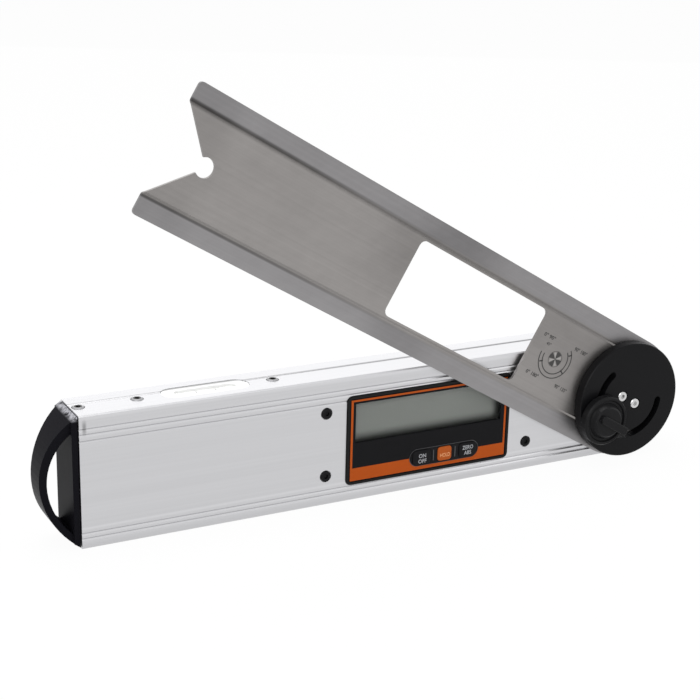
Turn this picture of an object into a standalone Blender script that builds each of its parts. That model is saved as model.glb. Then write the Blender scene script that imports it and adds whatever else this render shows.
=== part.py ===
"""Digital angle finder: an extruded box profile with a display, and a sheet steel arm that swings on a hub.

The frame is Z up. X runs along the body from the handle to the pivot, and Y runs from the front to the back.
The origin lies on the base face, in the middle of the body. All lengths are in metres.
"""
import math

import bmesh
import bpy
from mathutils import Matrix, Vector

# Clearance between pieces that touch, and how far a cutter runs past what it cuts
GAP = 0.0003
OVERRUN = 0.0020
WELD = 0.00002

# Extruded aluminium body
BODY_LENGTH = 0.2850
BODY_DEPTH = 0.0240
BODY_HEIGHT = 0.0600
WALL = 0.0022
BODY_EDGE = 0.0006
GROOVE_WIDTH = 0.0012
GROOVE_DEPTH = 0.0004
LOW_GROOVE_OUTER = 0.0045
LOW_GROOVE_INNER = 0.0069
HIGH_GROOVE_EDGE = 0.0063
HIGH_GROOVE_OUTER = 0.0087
HIGH_GROOVE_INNER = 0.0116
TOP_GROOVE_FROM_FRONT = 0.0146

# Swinging arm, pressed from sheet steel with a raised web
PIVOT_FROM_END = 0.0085
OPENING_DEG = 30.5
ARM_TRAVEL_DEG = 180.0
ARM_WIDTH = 0.0600
ARM_END_SETBACK = 0.0008
ARM_CORNER = 0.0018
SHEET = 0.0015
STRIP_WIDTH = 0.0094
WEB_RISE = 0.0008
WEB_SLOPE = 0.0009
ARM_CLEARANCE = 0.0010
WINDOW_LENGTH = 0.0815
WINDOW_WIDTH = 0.0376
WINDOW_START = 0.0660
WINDOW_CORNER = 0.0030
NOTCH_DEPTH = 0.0195
NOTCH_CORNER = 0.0030
RELIEF_RADIUS = 0.0044
RELIEF_FROM_END = 0.0188

# Hub disc in front of the arm, with the arc slot of the lock
HUB_RADIUS = 0.0289
HUB_THICKNESS = 0.0048
HUB_CHAMFER = 0.0004
SLOT_RADIUS = 0.0178
SLOT_SPARE_DEG = 45.0
BOLT_RADIUS = 0.0015
BOLT_ANGLE_DEG = 203.0
HUB_SCREW_SPACING = 0.0091
HUB_SCREW_HEAD_RADIUS = 0.0026
HUB_SCREW_HEAD_HEIGHT = 0.0017
HUB_SCREW_RADIUS = 0.0012
HUB_SCREW_LENGTH = 0.0105
HEX_SOCKET_RADIUS = 0.0012
HEX_SOCKET_DEPTH = 0.0010

# Rotor, bush and encoder inside the pivot end
NECK_RADIUS = 0.0090
BUSH_WALL = 0.0017
BUSH_FLANGE_RADIUS = 0.0125
BUSH_FLANGE = 0.0010
ROTOR_FLANGE_RADIUS = 0.0125
ROTOR_FLANGE = 0.0020
ROTOR_BOSS_RADIUS = 0.0040
ENCODER_ROTOR_RADIUS = 0.0132
ENCODER_ROTOR = 0.0010
ENCODER_AIR = 0.0005
STATOR_RADIUS = 0.0140
STATOR = 0.0012
WASHER_WIDTH = 0.0050

# Lock knob and its bolt
KNOB_RADIUS = 0.0123
KNOB_FLANGE = 0.0046
KNOB_RIM = 0.0016
KNOB_DISH = 0.0008
KNOB_DOME_RADIUS = 0.0085
KNOB_DOME = 0.0022
KNOB_EDGE = 0.0006
LEVER_HEIGHT = 0.0042
LEVER_WIDTH = 0.0042
LEVER_TAIL = 0.0040
LEVER_TIP = 0.0114
LEVER_TURN_DEG = 31.0
LOCK_WASHER = 0.0005
LOCK_WASHER_RADIUS = 0.0045
INSERT_WALL = 0.0010
INSERT_LENGTH = 0.0040
BOLT_HEAD_RADIUS = 0.0031
BOLT_HEAD = 0.0020
BOLT_BOSS_RADIUS = 0.0029

# Black mouldings that close the two ends
CAP_EDGE = 0.0005
CAP_SIDE = 0.0006
CAP_PLATE = 0.0030
CAP_PLUG = 0.0120
CAP_PLUG_WALL = 0.0025
CAP_BEVEL = 0.0007
HANDLE_REACH = 0.0160
HANDLE_THICKNESS = 0.0034
HANDLE_FINGER_SHARE = 0.755
HANDLE_FINGER_DROP = 0.0012
HANDLE_MID_DEPTH = 0.0120
HANDLE_ROOT_DEPTH = 0.0224
HANDLE_ROUND = 0.0012
PIVOT_CAP_PLUG = 0.0400
PIVOT_CAP_NOSE = 0.0297
BOLT_SEAT = 0.0025

# Display set in the front wall
BEZEL_FROM_END = 0.1250
BEZEL_LENGTH = 0.0868
BEZEL_HEIGHT = 0.0427
BEZEL_DROP = 0.00085
BEZEL_CORNER = 0.0025
BEZEL_PROUD = 0.0007
BEZEL_RIM = 0.0012
LENS_THICKNESS = 0.0010
LENS_SINK = 0.0002
LEDGE_THICKNESS = 0.0010
LCD_MARGIN = 0.0028
LCD_BASE = 0.0186
LCD_HEIGHT = 0.0206
LCD_THICKNESS = 0.0020
LCD_OVERLAP = 0.0012
BOARD_THICKNESS = 0.0016
BOARD_MARGIN = 0.0050
TRAY_THICKNESS = 0.0015
TRAY_MARGIN = 0.0165
TRAY_BELOW = 0.00135
TRAY_ABOVE = 0.00305
TRAY_BOSS_RADIUS = 0.0045

# Buttons under the display
BUTTON_HEIGHT = 0.0085
BUTTON_WIDTH = 0.0095
HOLD_WIDTH = 0.0072
BUTTON_PITCH = 0.0125
BUTTON_FROM_LEFT = 0.0390
BUTTON_BASE = 0.0028
BUTTON_PROUD = 0.0009
BUTTON_TRAVEL = 0.0008
BUTTON_FLANGE = 0.0004
BUTTON_LIP = 0.0005
DOME_RADIUS = 0.0025

# Coin cell and its cap in the back wall
CELL_RADIUS = 0.0100
CELL_THICKNESS = 0.0032
CELL_CONTACT = 0.0003
CELL_CONTACT_WIDTH = 0.0060
CELL_CUP_WALL = 0.0035
CELL_CAP_RADIUS = 0.0127
COIN_SLOT_LENGTH = 0.0150
COIN_SLOT_WIDTH = 0.0020
COIN_SLOT_DEPTH = 0.0012

# Level vial under a slot in the top wall
VIAL_FROM_END = 0.0610
VIAL_LENGTH = 0.0404
VIAL_WIDTH = 0.0122
VIAL_HEIGHT = 0.0110
VIAL_FROM_FRONT = 0.0116
VIAL_SINK = 0.0003
VIAL_SHOULDER = 0.0016
CRADLE_WALL = 0.0020
CRADLE_END = 0.0160

# Screws in the front wall and the top wall
SCREW_HEAD_RADIUS = 0.0026
SCREW_HEAD = 0.0012
SCREW_PROUD = 0.0005
SCREW_RADIUS = 0.0013
SCREW_LENGTH = 0.0070
SCREW_RECESS_RADIUS = 0.0011
SCREW_RECESS = 0.0007
TRAY_SCREW_LEFT = 0.0104
TRAY_SCREW_RIGHT = 0.0106
TRAY_SCREW_LOW = 0.0140
TRAY_SCREW_HIGH = 0.0158
TOP_SCREW_FROM_FRONT = 0.0106
END_SCREW_FROM_END = 0.0033
VIAL_SCREW_SPREAD = 0.0317

# Flat cable between the board and the encoder
FLEX_THICKNESS = 0.0003
FLEX_WIDTH = 0.0080
FLEX_RUN = 0.0100
FLEX_RISE = 0.0080

# Facets of round forms
FINE_STEPS = 72
ROUND_STEPS = 24
SMALL_STEPS = 16
CORNER_STEPS = 4
SMOOTH_DEG = 32.0

# Places worked out from the sizes above
LEFT_END = -BODY_LENGTH / 2
RIGHT_END = BODY_LENGTH / 2
FRONT = -BODY_DEPTH / 2
BACK = BODY_DEPTH / 2
PIVOT_X = RIGHT_END - PIVOT_FROM_END
PIVOT_Z = BODY_HEIGHT / 2
ARM_REACH = BODY_LENGTH - PIVOT_FROM_END - ARM_END_SETBACK
STRIP_BACK = -ARM_CLEARANCE
WEB_BACK = STRIP_BACK - WEB_RISE
WEB_FRONT = WEB_BACK - SHEET
HUB_BACK = WEB_FRONT - GAP
HUB_FRONT = HUB_BACK - HUB_THICKNESS
KNOB_BACK = HUB_FRONT - GAP
BOLT_X = SLOT_RADIUS * math.cos(math.radians(BOLT_ANGLE_DEG))
BOLT_Z = SLOT_RADIUS * math.sin(math.radians(BOLT_ANGLE_DEG))
BUSH_RADIUS = NECK_RADIUS + GAP + BUSH_WALL
BUSH_BACK = WALL + GAP + BUSH_FLANGE
ROTOR_BACK = BUSH_BACK + GAP + ROTOR_FLANGE
ENCODER_BACK = ROTOR_BACK + GAP + ENCODER_ROTOR
STATOR_FRONT = ENCODER_BACK + ENCODER_AIR
STATOR_BACK = STATOR_FRONT + STATOR
BLOCK_FRONT = STATOR_BACK + GAP
BEZEL_MID_X = LEFT_END + BEZEL_FROM_END + BEZEL_LENGTH / 2
BEZEL_BASE = BODY_HEIGHT / 2 - BEZEL_DROP - BEZEL_HEIGHT / 2
BEZEL_MID_Z = BEZEL_BASE + BEZEL_HEIGHT / 2
LENS_LENGTH = BEZEL_LENGTH - 2 * BEZEL_RIM - 2 * GAP
LENS_HEIGHT = BEZEL_HEIGHT - 2 * BEZEL_RIM - 2 * GAP
LENS_FRONT = -BEZEL_PROUD + LENS_SINK
LENS_BACK = LENS_FRONT + LENS_THICKNESS
LEDGE_BACK = LENS_BACK + GAP + LEDGE_THICKNESS
LCD_FRONT = LEDGE_BACK + GAP
BOARD_FRONT = LCD_FRONT + LCD_THICKNESS + GAP
BOARD_BACK = BOARD_FRONT + BOARD_THICKNESS
TRAY_FRONT = BOARD_BACK + GAP
CELL_CAP_FRONT = BODY_DEPTH - WALL
CELL_BACK = CELL_CAP_FRONT - GAP - BUSH_FLANGE
CELL_FRONT = CELL_BACK - CELL_THICKNESS
VIAL_X = LEFT_END + VIAL_FROM_END
VIAL_Y = FRONT + VIAL_FROM_FRONT


def finish(name, colour, roughness, metallic=0.0):
    """A plain Principled material with the finish of one kind of part."""
    mat = bpy.data.materials.new(name)
    mat.use_nodes = True
    shader = mat.node_tree.nodes["Principled BSDF"]
    shader.inputs["Base Color"].default_value = (*colour, 1.0)
    shader.inputs["Roughness"].default_value = roughness
    shader.inputs["Metallic"].default_value = metallic
    mat.diffuse_color = (*colour, 1.0)
    return mat


def point(a, b, along, axis):
    """A point of an outline, placed at a distance along the axis that the outline is extruded on."""
    if axis == "X":
        return Vector((along, a, b))
    if axis == "Y":
        return Vector((a, along, b))
    return Vector((a, b, along))


def make(name, bm, mat=None):
    """Turns a bmesh into a named object with outward normals."""
    bmesh.ops.remove_doubles(bm, verts=bm.verts, dist=WELD)
    bmesh.ops.recalc_face_normals(bm, faces=bm.faces)
    mesh = bpy.data.meshes.new(name)
    bm.to_mesh(mesh)
    bm.free()
    mesh.shade_smooth()
    if mat:
        mesh.materials.append(mat)
    obj = bpy.data.objects.new(name, mesh)
    bpy.context.scene.collection.objects.link(obj)
    return obj


def edge_shading():
    """A node tree that shades round faces smooth and keeps each edge above SMOOTH_DEG sharp."""
    tree = bpy.data.node_groups.new("edge shading", "GeometryNodeTree")
    tree.interface.new_socket("Geometry", in_out="INPUT", socket_type="NodeSocketGeometry")
    tree.interface.new_socket("Geometry", in_out="OUTPUT", socket_type="NodeSocketGeometry")
    start = tree.nodes.new("NodeGroupInput")
    end = tree.nodes.new("NodeGroupOutput")
    angle = tree.nodes.new("GeometryNodeInputMeshEdgeAngle")
    steep = tree.nodes.new("FunctionNodeCompare")
    steep.operation = "GREATER_THAN"
    steep.inputs["B"].default_value = math.radians(SMOOTH_DEG)
    sharpen = tree.nodes.new("GeometryNodeSetShadeSmooth")
    sharpen.domain = "EDGE"
    sharpen.inputs["Shade Smooth"].default_value = False
    tree.links.new(angle.outputs["Unsigned Angle"], steep.inputs["A"])
    tree.links.new(start.outputs["Geometry"], sharpen.inputs["Geometry"])
    tree.links.new(steep.outputs["Result"], sharpen.inputs["Selection"])
    tree.links.new(sharpen.outputs["Geometry"], end.inputs["Geometry"])
    return tree


def shade_all():
    """Puts the edge shading after the other modifiers of every piece of the model."""
    tree = edge_shading()
    for obj in bpy.data.objects:
        if obj.type == "MESH" and not obj.hide_render:
            obj.modifiers.new("Edge shading", "NODES").node_group = tree


def prism(name, outline, low, high, axis, mat=None):
    """Extrudes a closed outline along an axis, from low to high."""
    bm = bmesh.new()
    verts = [bm.verts.new(point(a, b, low, axis)) for a, b in outline]
    face = bm.faces.new(verts)
    moved = bmesh.ops.extrude_face_region(bm, geom=[face])
    shift = point(0, 0, high - low, axis)
    top = [v for v in moved["geom"] if isinstance(v, bmesh.types.BMVert)]
    bmesh.ops.translate(bm, verts=top, vec=shift)
    return make(name, bm, mat)


def turned(name, profile, centre, axis="Y", steps=ROUND_STEPS, mat=None):
    """Spins a closed profile of (radius, distance along the axis) round an axis through a centre."""
    bm = bmesh.new()
    side = Vector((1, 0, 0))
    line = point(0, 0, 1, axis)
    verts = [bm.verts.new(side * r + line * d) for r, d in profile]
    edges = [bm.edges.new((a, b)) for a, b in zip(verts, verts[1:] + verts[:1])]
    bmesh.ops.spin(bm, geom=verts + edges, cent=(0, 0, 0), axis=line, angle=math.tau, steps=steps)
    bmesh.ops.remove_doubles(bm, verts=bm.verts, dist=WELD)
    flat = [f for f in bm.faces if f.calc_area() < WELD * WELD]
    bmesh.ops.delete(bm, geom=flat, context="FACES")
    loose = [e for e in bm.edges if not e.link_faces]
    bmesh.ops.delete(bm, geom=loose, context="EDGES")
    bmesh.ops.translate(bm, verts=bm.verts, vec=centre)
    return make(name, bm, mat)


def circle(x, z, radius, steps=ROUND_STEPS):
    """Points of a circle."""
    turns = [math.tau * i / steps for i in range(steps)]
    return [(x + radius * math.cos(t), z + radius * math.sin(t)) for t in turns]


def arc(x, z, radius, start_deg, end_deg, steps):
    """Points of an arc, both ends included."""
    turns = [math.radians(start_deg + (end_deg - start_deg) * i / steps) for i in range(steps + 1)]
    return [(x + radius * math.cos(t), z + radius * math.sin(t)) for t in turns]


def box(x0, x1, z0, z1, corner=0.0):
    """A rectangle between two corners, with its own corners rounded where a radius is given."""
    if corner == 0:
        return [(x0, z0), (x1, z0), (x1, z1), (x0, z1)]
    points = arc(x1 - corner, z0 + corner, corner, -90, 0, CORNER_STEPS)
    points += arc(x1 - corner, z1 - corner, corner, 0, 90, CORNER_STEPS)
    points += arc(x0 + corner, z1 - corner, corner, 90, 180, CORNER_STEPS)
    points += arc(x0 + corner, z0 + corner, corner, 180, 270, CORNER_STEPS)
    return points


def centred(x, z, length, height, corner=0.0):
    """A rectangle given by its middle and its size."""
    return box(x - length / 2, x + length / 2, z - height / 2, z + height / 2, corner)


def arc_slot(radius, half_width, start_deg, end_deg):
    """The outline of a slot that follows an arc round the pivot, with round ends."""
    end_x, end_z = arc(0, 0, radius, end_deg, end_deg, 1)[0]
    start_x, start_z = arc(0, 0, radius, start_deg, start_deg, 1)[0]
    outline = arc(0, 0, radius + half_width, start_deg, end_deg, FINE_STEPS // 2)
    outline += arc(end_x, end_z, half_width, end_deg, end_deg + 180, 2 * CORNER_STEPS)[1:-1]
    outline += arc(0, 0, radius - half_width, end_deg, start_deg, FINE_STEPS // 2)
    outline += arc(start_x, start_z, half_width, start_deg + 180, start_deg + 360, 2 * CORNER_STEPS)[1:-1]
    return outline


def hide(tool):
    """Marks an object as a tool of a Boolean, which is not part of the model."""
    tool.hide_render = True
    tool.display_type = "WIRE"


def boolean(obj, tool, operation):
    """Adds a Boolean with a tool object, which follows the object's parent."""
    tool.parent = obj.parent
    hide(tool)
    mod = obj.modifiers.new(operation.title(), "BOOLEAN")
    mod.operation = operation
    mod.object = tool
    mod.solver = "EXACT"
    return obj


def cut(obj, outline, low, high, axis="Y"):
    """Cuts an extruded outline out of an object."""
    tool = prism(obj.name + "_cutter", outline, low, high, axis)
    return boolean(obj, tool, "DIFFERENCE")


def join(obj, tool):
    """Fuses another shape to an object."""
    return boolean(obj, tool, "UNION")


def bevel(obj, width, segments=2, angle_deg=40.0):
    """Rounds the sharp edges of an object."""
    mod = obj.modifiers.new("Bevel", "BEVEL")
    mod.width = width
    mod.segments = segments
    mod.limit_method = "ANGLE"
    mod.angle_limit = math.radians(angle_deg)
    return obj


def screw(name, centre, axis, direction, mat):
    """A pan head screw: its head is proud of the wall, and its shank runs into the piece behind."""
    face = SCREW_PROUD
    under = SCREW_PROUD - SCREW_HEAD
    profile = [(0, face - SCREW_RECESS), (SCREW_RECESS_RADIUS, face - SCREW_RECESS), (SCREW_RECESS_RADIUS, face),
               (SCREW_HEAD_RADIUS - SCREW_PROUD, face), (SCREW_HEAD_RADIUS, face - SCREW_PROUD),
               (SCREW_HEAD_RADIUS, under), (SCREW_RADIUS, under), (SCREW_RADIUS, under - SCREW_LENGTH),
               (0, under - SCREW_LENGTH)]
    placed = [(r, direction * d) for r, d in profile]
    return turned(name, placed, Vector(centre), axis, SMALL_STEPS, mat)


def body_section():
    """Outer outline of the extrusion in Y and Z, with its chamfered edges and shallow grooves."""
    half = GROOVE_WIDTH / 2
    edge = BODY_EDGE
    points = [(BACK - edge, 0), (BACK, edge), (BACK, BODY_HEIGHT - edge), (BACK - edge, BODY_HEIGHT)]
    seam = FRONT + TOP_GROOVE_FROM_FRONT
    points += [(seam + half, BODY_HEIGHT), (seam, BODY_HEIGHT - GROOVE_DEPTH), (seam - half, BODY_HEIGHT)]
    points += [(FRONT + edge, BODY_HEIGHT), (FRONT, BODY_HEIGHT - edge)]
    heights = [BODY_HEIGHT - depth for depth in (HIGH_GROOVE_EDGE, HIGH_GROOVE_OUTER, HIGH_GROOVE_INNER)]
    heights += [LOW_GROOVE_INNER, LOW_GROOVE_OUTER]
    for z in heights:
        points += [(FRONT, z + half), (FRONT + GROOVE_DEPTH, z), (FRONT, z - half)]
    points += [(FRONT, edge), (FRONT + edge, 0)]
    return points


def tray_screw_places():
    """Where the four front screws stand, as (x, z)."""
    left = BEZEL_MID_X - BEZEL_LENGTH / 2 - TRAY_SCREW_LEFT
    right = BEZEL_MID_X + BEZEL_LENGTH / 2 + TRAY_SCREW_RIGHT
    return [(x, z) for z in (TRAY_SCREW_LOW, BODY_HEIGHT - TRAY_SCREW_HIGH) for x in (left, right)]


def top_screw_places():
    """Where the screws in the top wall stand along X, by the piece that each one holds."""
    return {
        "end_cap_screw": LEFT_END + END_SCREW_FROM_END,
        "vial_screw_left": VIAL_X - VIAL_SCREW_SPREAD,
        "vial_screw_right": VIAL_X + VIAL_SCREW_SPREAD,
        "pivot_cap_screw": RIGHT_END - END_SCREW_FROM_END,
    }


def button_places():
    """Where the buttons stand, by name, as (x, z, width)."""
    first = BEZEL_MID_X - BEZEL_LENGTH / 2 + BUTTON_FROM_LEFT
    z = BEZEL_BASE + BUTTON_BASE + BUTTON_HEIGHT / 2
    return {
        "on_off_button": (first, z, BUTTON_WIDTH),
        "hold_button": (first + BUTTON_PITCH, z, HOLD_WIDTH),
        "zero_button": (first + 2 * BUTTON_PITCH, z, BUTTON_WIDTH),
    }


def make_body(mat):
    """The box extrusion, open at both ends, with its cut-outs."""
    body = prism("body_profile", body_section(), LEFT_END, RIGHT_END, "X", mat)
    inner = box(FRONT + WALL, BACK - WALL, WALL, BODY_HEIGHT - WALL)
    cut(body, inner, LEFT_END - OVERRUN, RIGHT_END + OVERRUN, "X")
    front_wall = (FRONT - OVERRUN, FRONT + WALL + OVERRUN)
    display = centred(BEZEL_MID_X, BEZEL_MID_Z, BEZEL_LENGTH + 2 * GAP, BEZEL_HEIGHT + 2 * GAP, BEZEL_CORNER + GAP)
    cut(body, display, *front_wall)
    cut(body, circle(PIVOT_X, PIVOT_Z, BUSH_RADIUS + GAP, FINE_STEPS // 2), *front_wall)
    cut(body, circle(PIVOT_X + BOLT_X, PIVOT_Z + BOLT_Z, BOLT_RADIUS + GAP, SMALL_STEPS), *front_wall)
    seat = SCREW_HEAD - SCREW_PROUD + GAP
    for x, z in tray_screw_places():
        cut(body, circle(x, z, SCREW_RADIUS + GAP, SMALL_STEPS), *front_wall)
        cut(body, circle(x, z, SCREW_HEAD_RADIUS + GAP, SMALL_STEPS), FRONT - OVERRUN, FRONT + seat)
    top_wall = (BODY_HEIGHT - WALL - OVERRUN, BODY_HEIGHT + OVERRUN)
    vial_slot = centred(VIAL_X, VIAL_Y, VIAL_LENGTH + 2 * GAP, VIAL_WIDTH + 2 * GAP, VIAL_WIDTH / 2)
    cut(body, vial_slot, *top_wall, "Z")
    y = FRONT + TOP_SCREW_FROM_FRONT
    for x in top_screw_places().values():
        cut(body, circle(x, y, SCREW_RADIUS + GAP, SMALL_STEPS), *top_wall, "Z")
        cut(body, circle(x, y, SCREW_HEAD_RADIUS + GAP, SMALL_STEPS), BODY_HEIGHT - seat, BODY_HEIGHT + OVERRUN, "Z")
    cap_hole = circle(BEZEL_MID_X, BEZEL_MID_Z, CELL_CAP_RADIUS + GAP, FINE_STEPS // 2)
    cut(body, cap_hole, BACK - WALL - OVERRUN, BACK + OVERRUN)
    return body


def arc_between(half_chord, reach):
    """Radius of the arc that stands reach high over a chord."""
    return (half_chord * half_chord + reach * reach) / (2 * reach)


def handle_arc(half_chord, reach, chord_x, chord_z, steps):
    """An arc that bulges towards the left from an upright chord, from its top to its foot, as (x, z)."""
    radius = arc_between(half_chord, reach)
    turn = math.degrees(math.asin(half_chord / radius))
    return arc(chord_x - reach + radius, chord_z, radius, 180 - turn, 180 + turn, steps)


def cap_arc():
    """The outer arc of the left cap. The plate's ends and the strap both follow it."""
    half_chord = BODY_HEIGHT / 2 - CAP_EDGE
    return handle_arc(half_chord, HANDLE_REACH - GAP, LEFT_END - GAP, PIVOT_Z, FINE_STEPS // 3)


def make_handle_strap(face, mat):
    """The D strap: a crescent between two arcs, waisted in depth and rounded along its edges."""
    half_chord = BODY_HEIGHT / 2 - CAP_EDGE
    outer = [(x, z) for x, z in cap_arc() if x < face + CAP_PLATE / 2]
    inner_reach = HANDLE_REACH - CAP_PLATE - HANDLE_THICKNESS
    middle = PIVOT_Z - HANDLE_FINGER_DROP
    inner = handle_arc(half_chord * HANDLE_FINGER_SHARE, inner_reach, face, middle, FINE_STEPS // 4)
    root = HANDLE_ROOT_DEPTH / 2
    strap = prism("end_cap_handle", outer + inner[::-1], -root, root, "Y", mat)
    waist = (HANDLE_ROOT_DEPTH - HANDLE_MID_DEPTH) / 2
    radius = arc_between(half_chord, waist)
    turn = math.degrees(math.asin(half_chord / radius))
    for side in (1, -1):
        centre = side * (HANDLE_MID_DEPTH / 2 + radius)
        start = 90 + 90 * side
        scoop = arc(centre, PIVOT_Z, radius, start - turn, start + turn, FINE_STEPS // 4)
        far = side * (root + OVERRUN)
        scoop = [(far, scoop[0][1])] + scoop + [(far, scoop[-1][1])]
        cut(strap, scoop, face - HANDLE_REACH - OVERRUN, face + CAP_PLATE, "X")
    bevel(strap, HANDLE_ROUND, 3, 50.0)
    return strap


def make_end_cap(mat):
    """The left cap: a plate over the end of the body, a plug inside it, and the D handle."""
    plate_face = LEFT_END - CAP_PLATE
    cap = make_handle_strap(plate_face, mat)
    y = BACK - CAP_SIDE
    rim = [(x, z) for x, z in cap_arc() if x > plate_face]
    top = [corner for corner in rim if corner[1] > PIVOT_Z]
    foot = [corner for corner in rim if corner[1] < PIVOT_Z]
    outline = top + [(plate_face, top[-1][1]), (plate_face, foot[0][1])] + foot
    plate = prism("cap_plate", outline, -y, y, "Y")
    bevel(plate, CAP_BEVEL, 2)
    join(cap, plate)
    side = BACK - WALL - GAP
    low = WALL + GAP
    high = BODY_HEIGHT - WALL - GAP
    plug = prism("cap_plug", box(-side, side, low, high), LEFT_END - CAP_PLATE / 2, LEFT_END + CAP_PLUG, "X")
    inside = CAP_PLUG_WALL
    pocket = box(-side + inside, side - inside, low + inside, high - SCREW_LENGTH - inside)
    cut(plug, pocket, LEFT_END + inside, LEFT_END + CAP_PLUG + OVERRUN, "X")
    join(cap, plug)
    hole = circle(LEFT_END + END_SCREW_FROM_END, FRONT + TOP_SCREW_FROM_FRONT, SCREW_RADIUS + GAP, SMALL_STEPS)
    cut(cap, hole, high - SCREW_LENGTH, high + OVERRUN, "Z")
    return cap


def make_pivot_cap(mat):
    """The right cap: a half-round nose, and a block inside the body that carries the stator and the bolt."""
    nose_start = RIGHT_END + GAP
    turn = math.degrees(math.acos((nose_start - PIVOT_X) / PIVOT_CAP_NOSE))
    outline = arc(PIVOT_X, PIVOT_Z, PIVOT_CAP_NOSE, -turn, turn, FINE_STEPS // 3)
    y = BACK - CAP_SIDE
    cap = prism("pivot_end_cap", outline, -y, y, "Y", mat)
    bevel(cap, CAP_BEVEL, 2, 50.0)
    low = WALL + GAP
    high = BODY_HEIGHT - WALL - GAP
    start = RIGHT_END - PIVOT_CAP_PLUG
    back = BACK - WALL - GAP
    block = prism("pivot_block", box(start, nose_start + CAP_PLATE, low, high), FRONT + BLOCK_FRONT, back, "Y")
    join(cap, block)
    bridge_start = RIGHT_END - PIVOT_FROM_END + ROTOR_FLANGE_RADIUS + BUSH_WALL
    for z0, z1 in ((low, low + SCREW_LENGTH), (high - SCREW_LENGTH, high)):
        rail = box(min(bridge_start, RIGHT_END - 2 * END_SCREW_FROM_END), nose_start + CAP_PLATE, z0, z1)
        join(cap, prism("pivot_rail", rail, FRONT + WALL + GAP, FRONT + BLOCK_FRONT + CAP_PLATE, "Y"))
    bolt = (PIVOT_X + BOLT_X, PIVOT_Z + BOLT_Z)
    boss = prism("bolt_boss", circle(*bolt, BOLT_BOSS_RADIUS, SMALL_STEPS), FRONT + WALL + GAP,
                 FRONT + BLOCK_FRONT + CAP_PLATE, "Y")
    join(cap, boss)
    well = circle(PIVOT_X, PIVOT_Z, STATOR_RADIUS + GAP, FINE_STEPS // 2)
    cut(cap, well, FRONT + WALL + GAP, FRONT + BLOCK_FRONT)
    cut(cap, circle(PIVOT_X, PIVOT_Z, BUSH_RADIUS + GAP, FINE_STEPS // 2), FRONT, FRONT + WALL + 2 * GAP)
    cut(cap, circle(*bolt, BOLT_RADIUS + GAP, SMALL_STEPS), FRONT, BACK)
    pocket = circle(*bolt, BOLT_HEAD_RADIUS + GAP, 6)
    cut(cap, pocket, FRONT + BLOCK_FRONT + BOLT_SEAT, BACK)
    hole = circle(RIGHT_END - END_SCREW_FROM_END, FRONT + TOP_SCREW_FROM_FRONT, SCREW_RADIUS + GAP, SMALL_STEPS)
    cut(cap, hole, high - SCREW_LENGTH, high + OVERRUN, "Z")
    return cap


def make_lock_bolt(mat):
    """The fixed bolt of the lock: its hexagon head is held in the block, and its thread reaches the knob."""
    x = PIVOT_X + BOLT_X
    z = PIVOT_Z + BOLT_Z
    head = FRONT + BLOCK_FRONT + BOLT_SEAT + GAP
    bolt = prism("lock_bolt", circle(x, z, BOLT_HEAD_RADIUS, 6), head, head + BOLT_HEAD, "Y", mat)
    tip = FRONT + KNOB_BACK - LOCK_WASHER - INSERT_LENGTH
    join(bolt, prism("bolt_shank", circle(x, z, BOLT_RADIUS, SMALL_STEPS), tip, head + BOLT_HEAD / 2, "Y"))
    return bolt


def make_bush(mat):
    """The flanged bush that the rotor turns in, set in the front wall from behind."""
    bore = NECK_RADIUS + GAP
    inner = WALL + GAP
    profile = [(bore, 0), (BUSH_RADIUS, 0), (BUSH_RADIUS, inner), (BUSH_FLANGE_RADIUS, inner),
               (BUSH_FLANGE_RADIUS, BUSH_BACK), (bore, BUSH_BACK)]
    return turned("pivot_bush", profile, Vector((PIVOT_X, FRONT, PIVOT_Z)), "Y", FINE_STEPS // 2, mat)


def make_stator(mat):
    """The fixed half of the angle encoder, a round board on the block."""
    outline = circle(PIVOT_X, PIVOT_Z, STATOR_RADIUS, FINE_STEPS // 2)
    return prism("encoder_stator", outline, FRONT + STATOR_FRONT, FRONT + STATOR_BACK, "Y", mat)


def make_bezel(mat):
    """The frame of the display, with a seat for the lens and a ledge behind it."""
    outline = centred(BEZEL_MID_X, BEZEL_MID_Z, BEZEL_LENGTH, BEZEL_HEIGHT, BEZEL_CORNER)
    bezel = prism("display_bezel", outline, FRONT - BEZEL_PROUD, FRONT + LEDGE_BACK, "Y", mat)
    corner = BEZEL_CORNER - BEZEL_RIM
    seat = centred(BEZEL_MID_X, BEZEL_MID_Z, LENS_LENGTH + 2 * GAP, LENS_HEIGHT + 2 * GAP, corner)
    cut(bezel, seat, FRONT - BEZEL_PROUD - OVERRUN, FRONT + LENS_BACK + GAP)
    cut(bezel, lcd_opening(), FRONT - OVERRUN, FRONT + LEDGE_BACK + OVERRUN)
    for x, z, width in button_places().values():
        hole = centred(x, z, width + 2 * GAP, BUTTON_HEIGHT + 2 * GAP, BUTTON_WIDTH / 5)
        cut(bezel, hole, FRONT - OVERRUN, FRONT + LEDGE_BACK + OVERRUN)
    return bezel


def lcd_opening():
    """The opening in the ledge that the display shows through."""
    left = BEZEL_MID_X - LENS_LENGTH / 2 + LCD_MARGIN
    right = BEZEL_MID_X + LENS_LENGTH / 2 - LCD_MARGIN
    low = BEZEL_BASE + LCD_BASE
    return box(left, right, low, low + LCD_HEIGHT)


def make_lens(mat):
    """The printed lens over the display, with an opening for each button."""
    corner = BEZEL_CORNER - BEZEL_RIM
    outline = centred(BEZEL_MID_X, BEZEL_MID_Z, LENS_LENGTH, LENS_HEIGHT, corner)
    lens = prism("display_lens", outline, FRONT + LENS_FRONT, FRONT + LENS_BACK, "Y", mat)
    for x, z, width in button_places().values():
        hole = centred(x, z, width + 2 * GAP, BUTTON_HEIGHT + 2 * GAP, BUTTON_WIDTH / 5)
        cut(lens, hole, FRONT - OVERRUN, FRONT + OVERRUN)
    return lens


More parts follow.
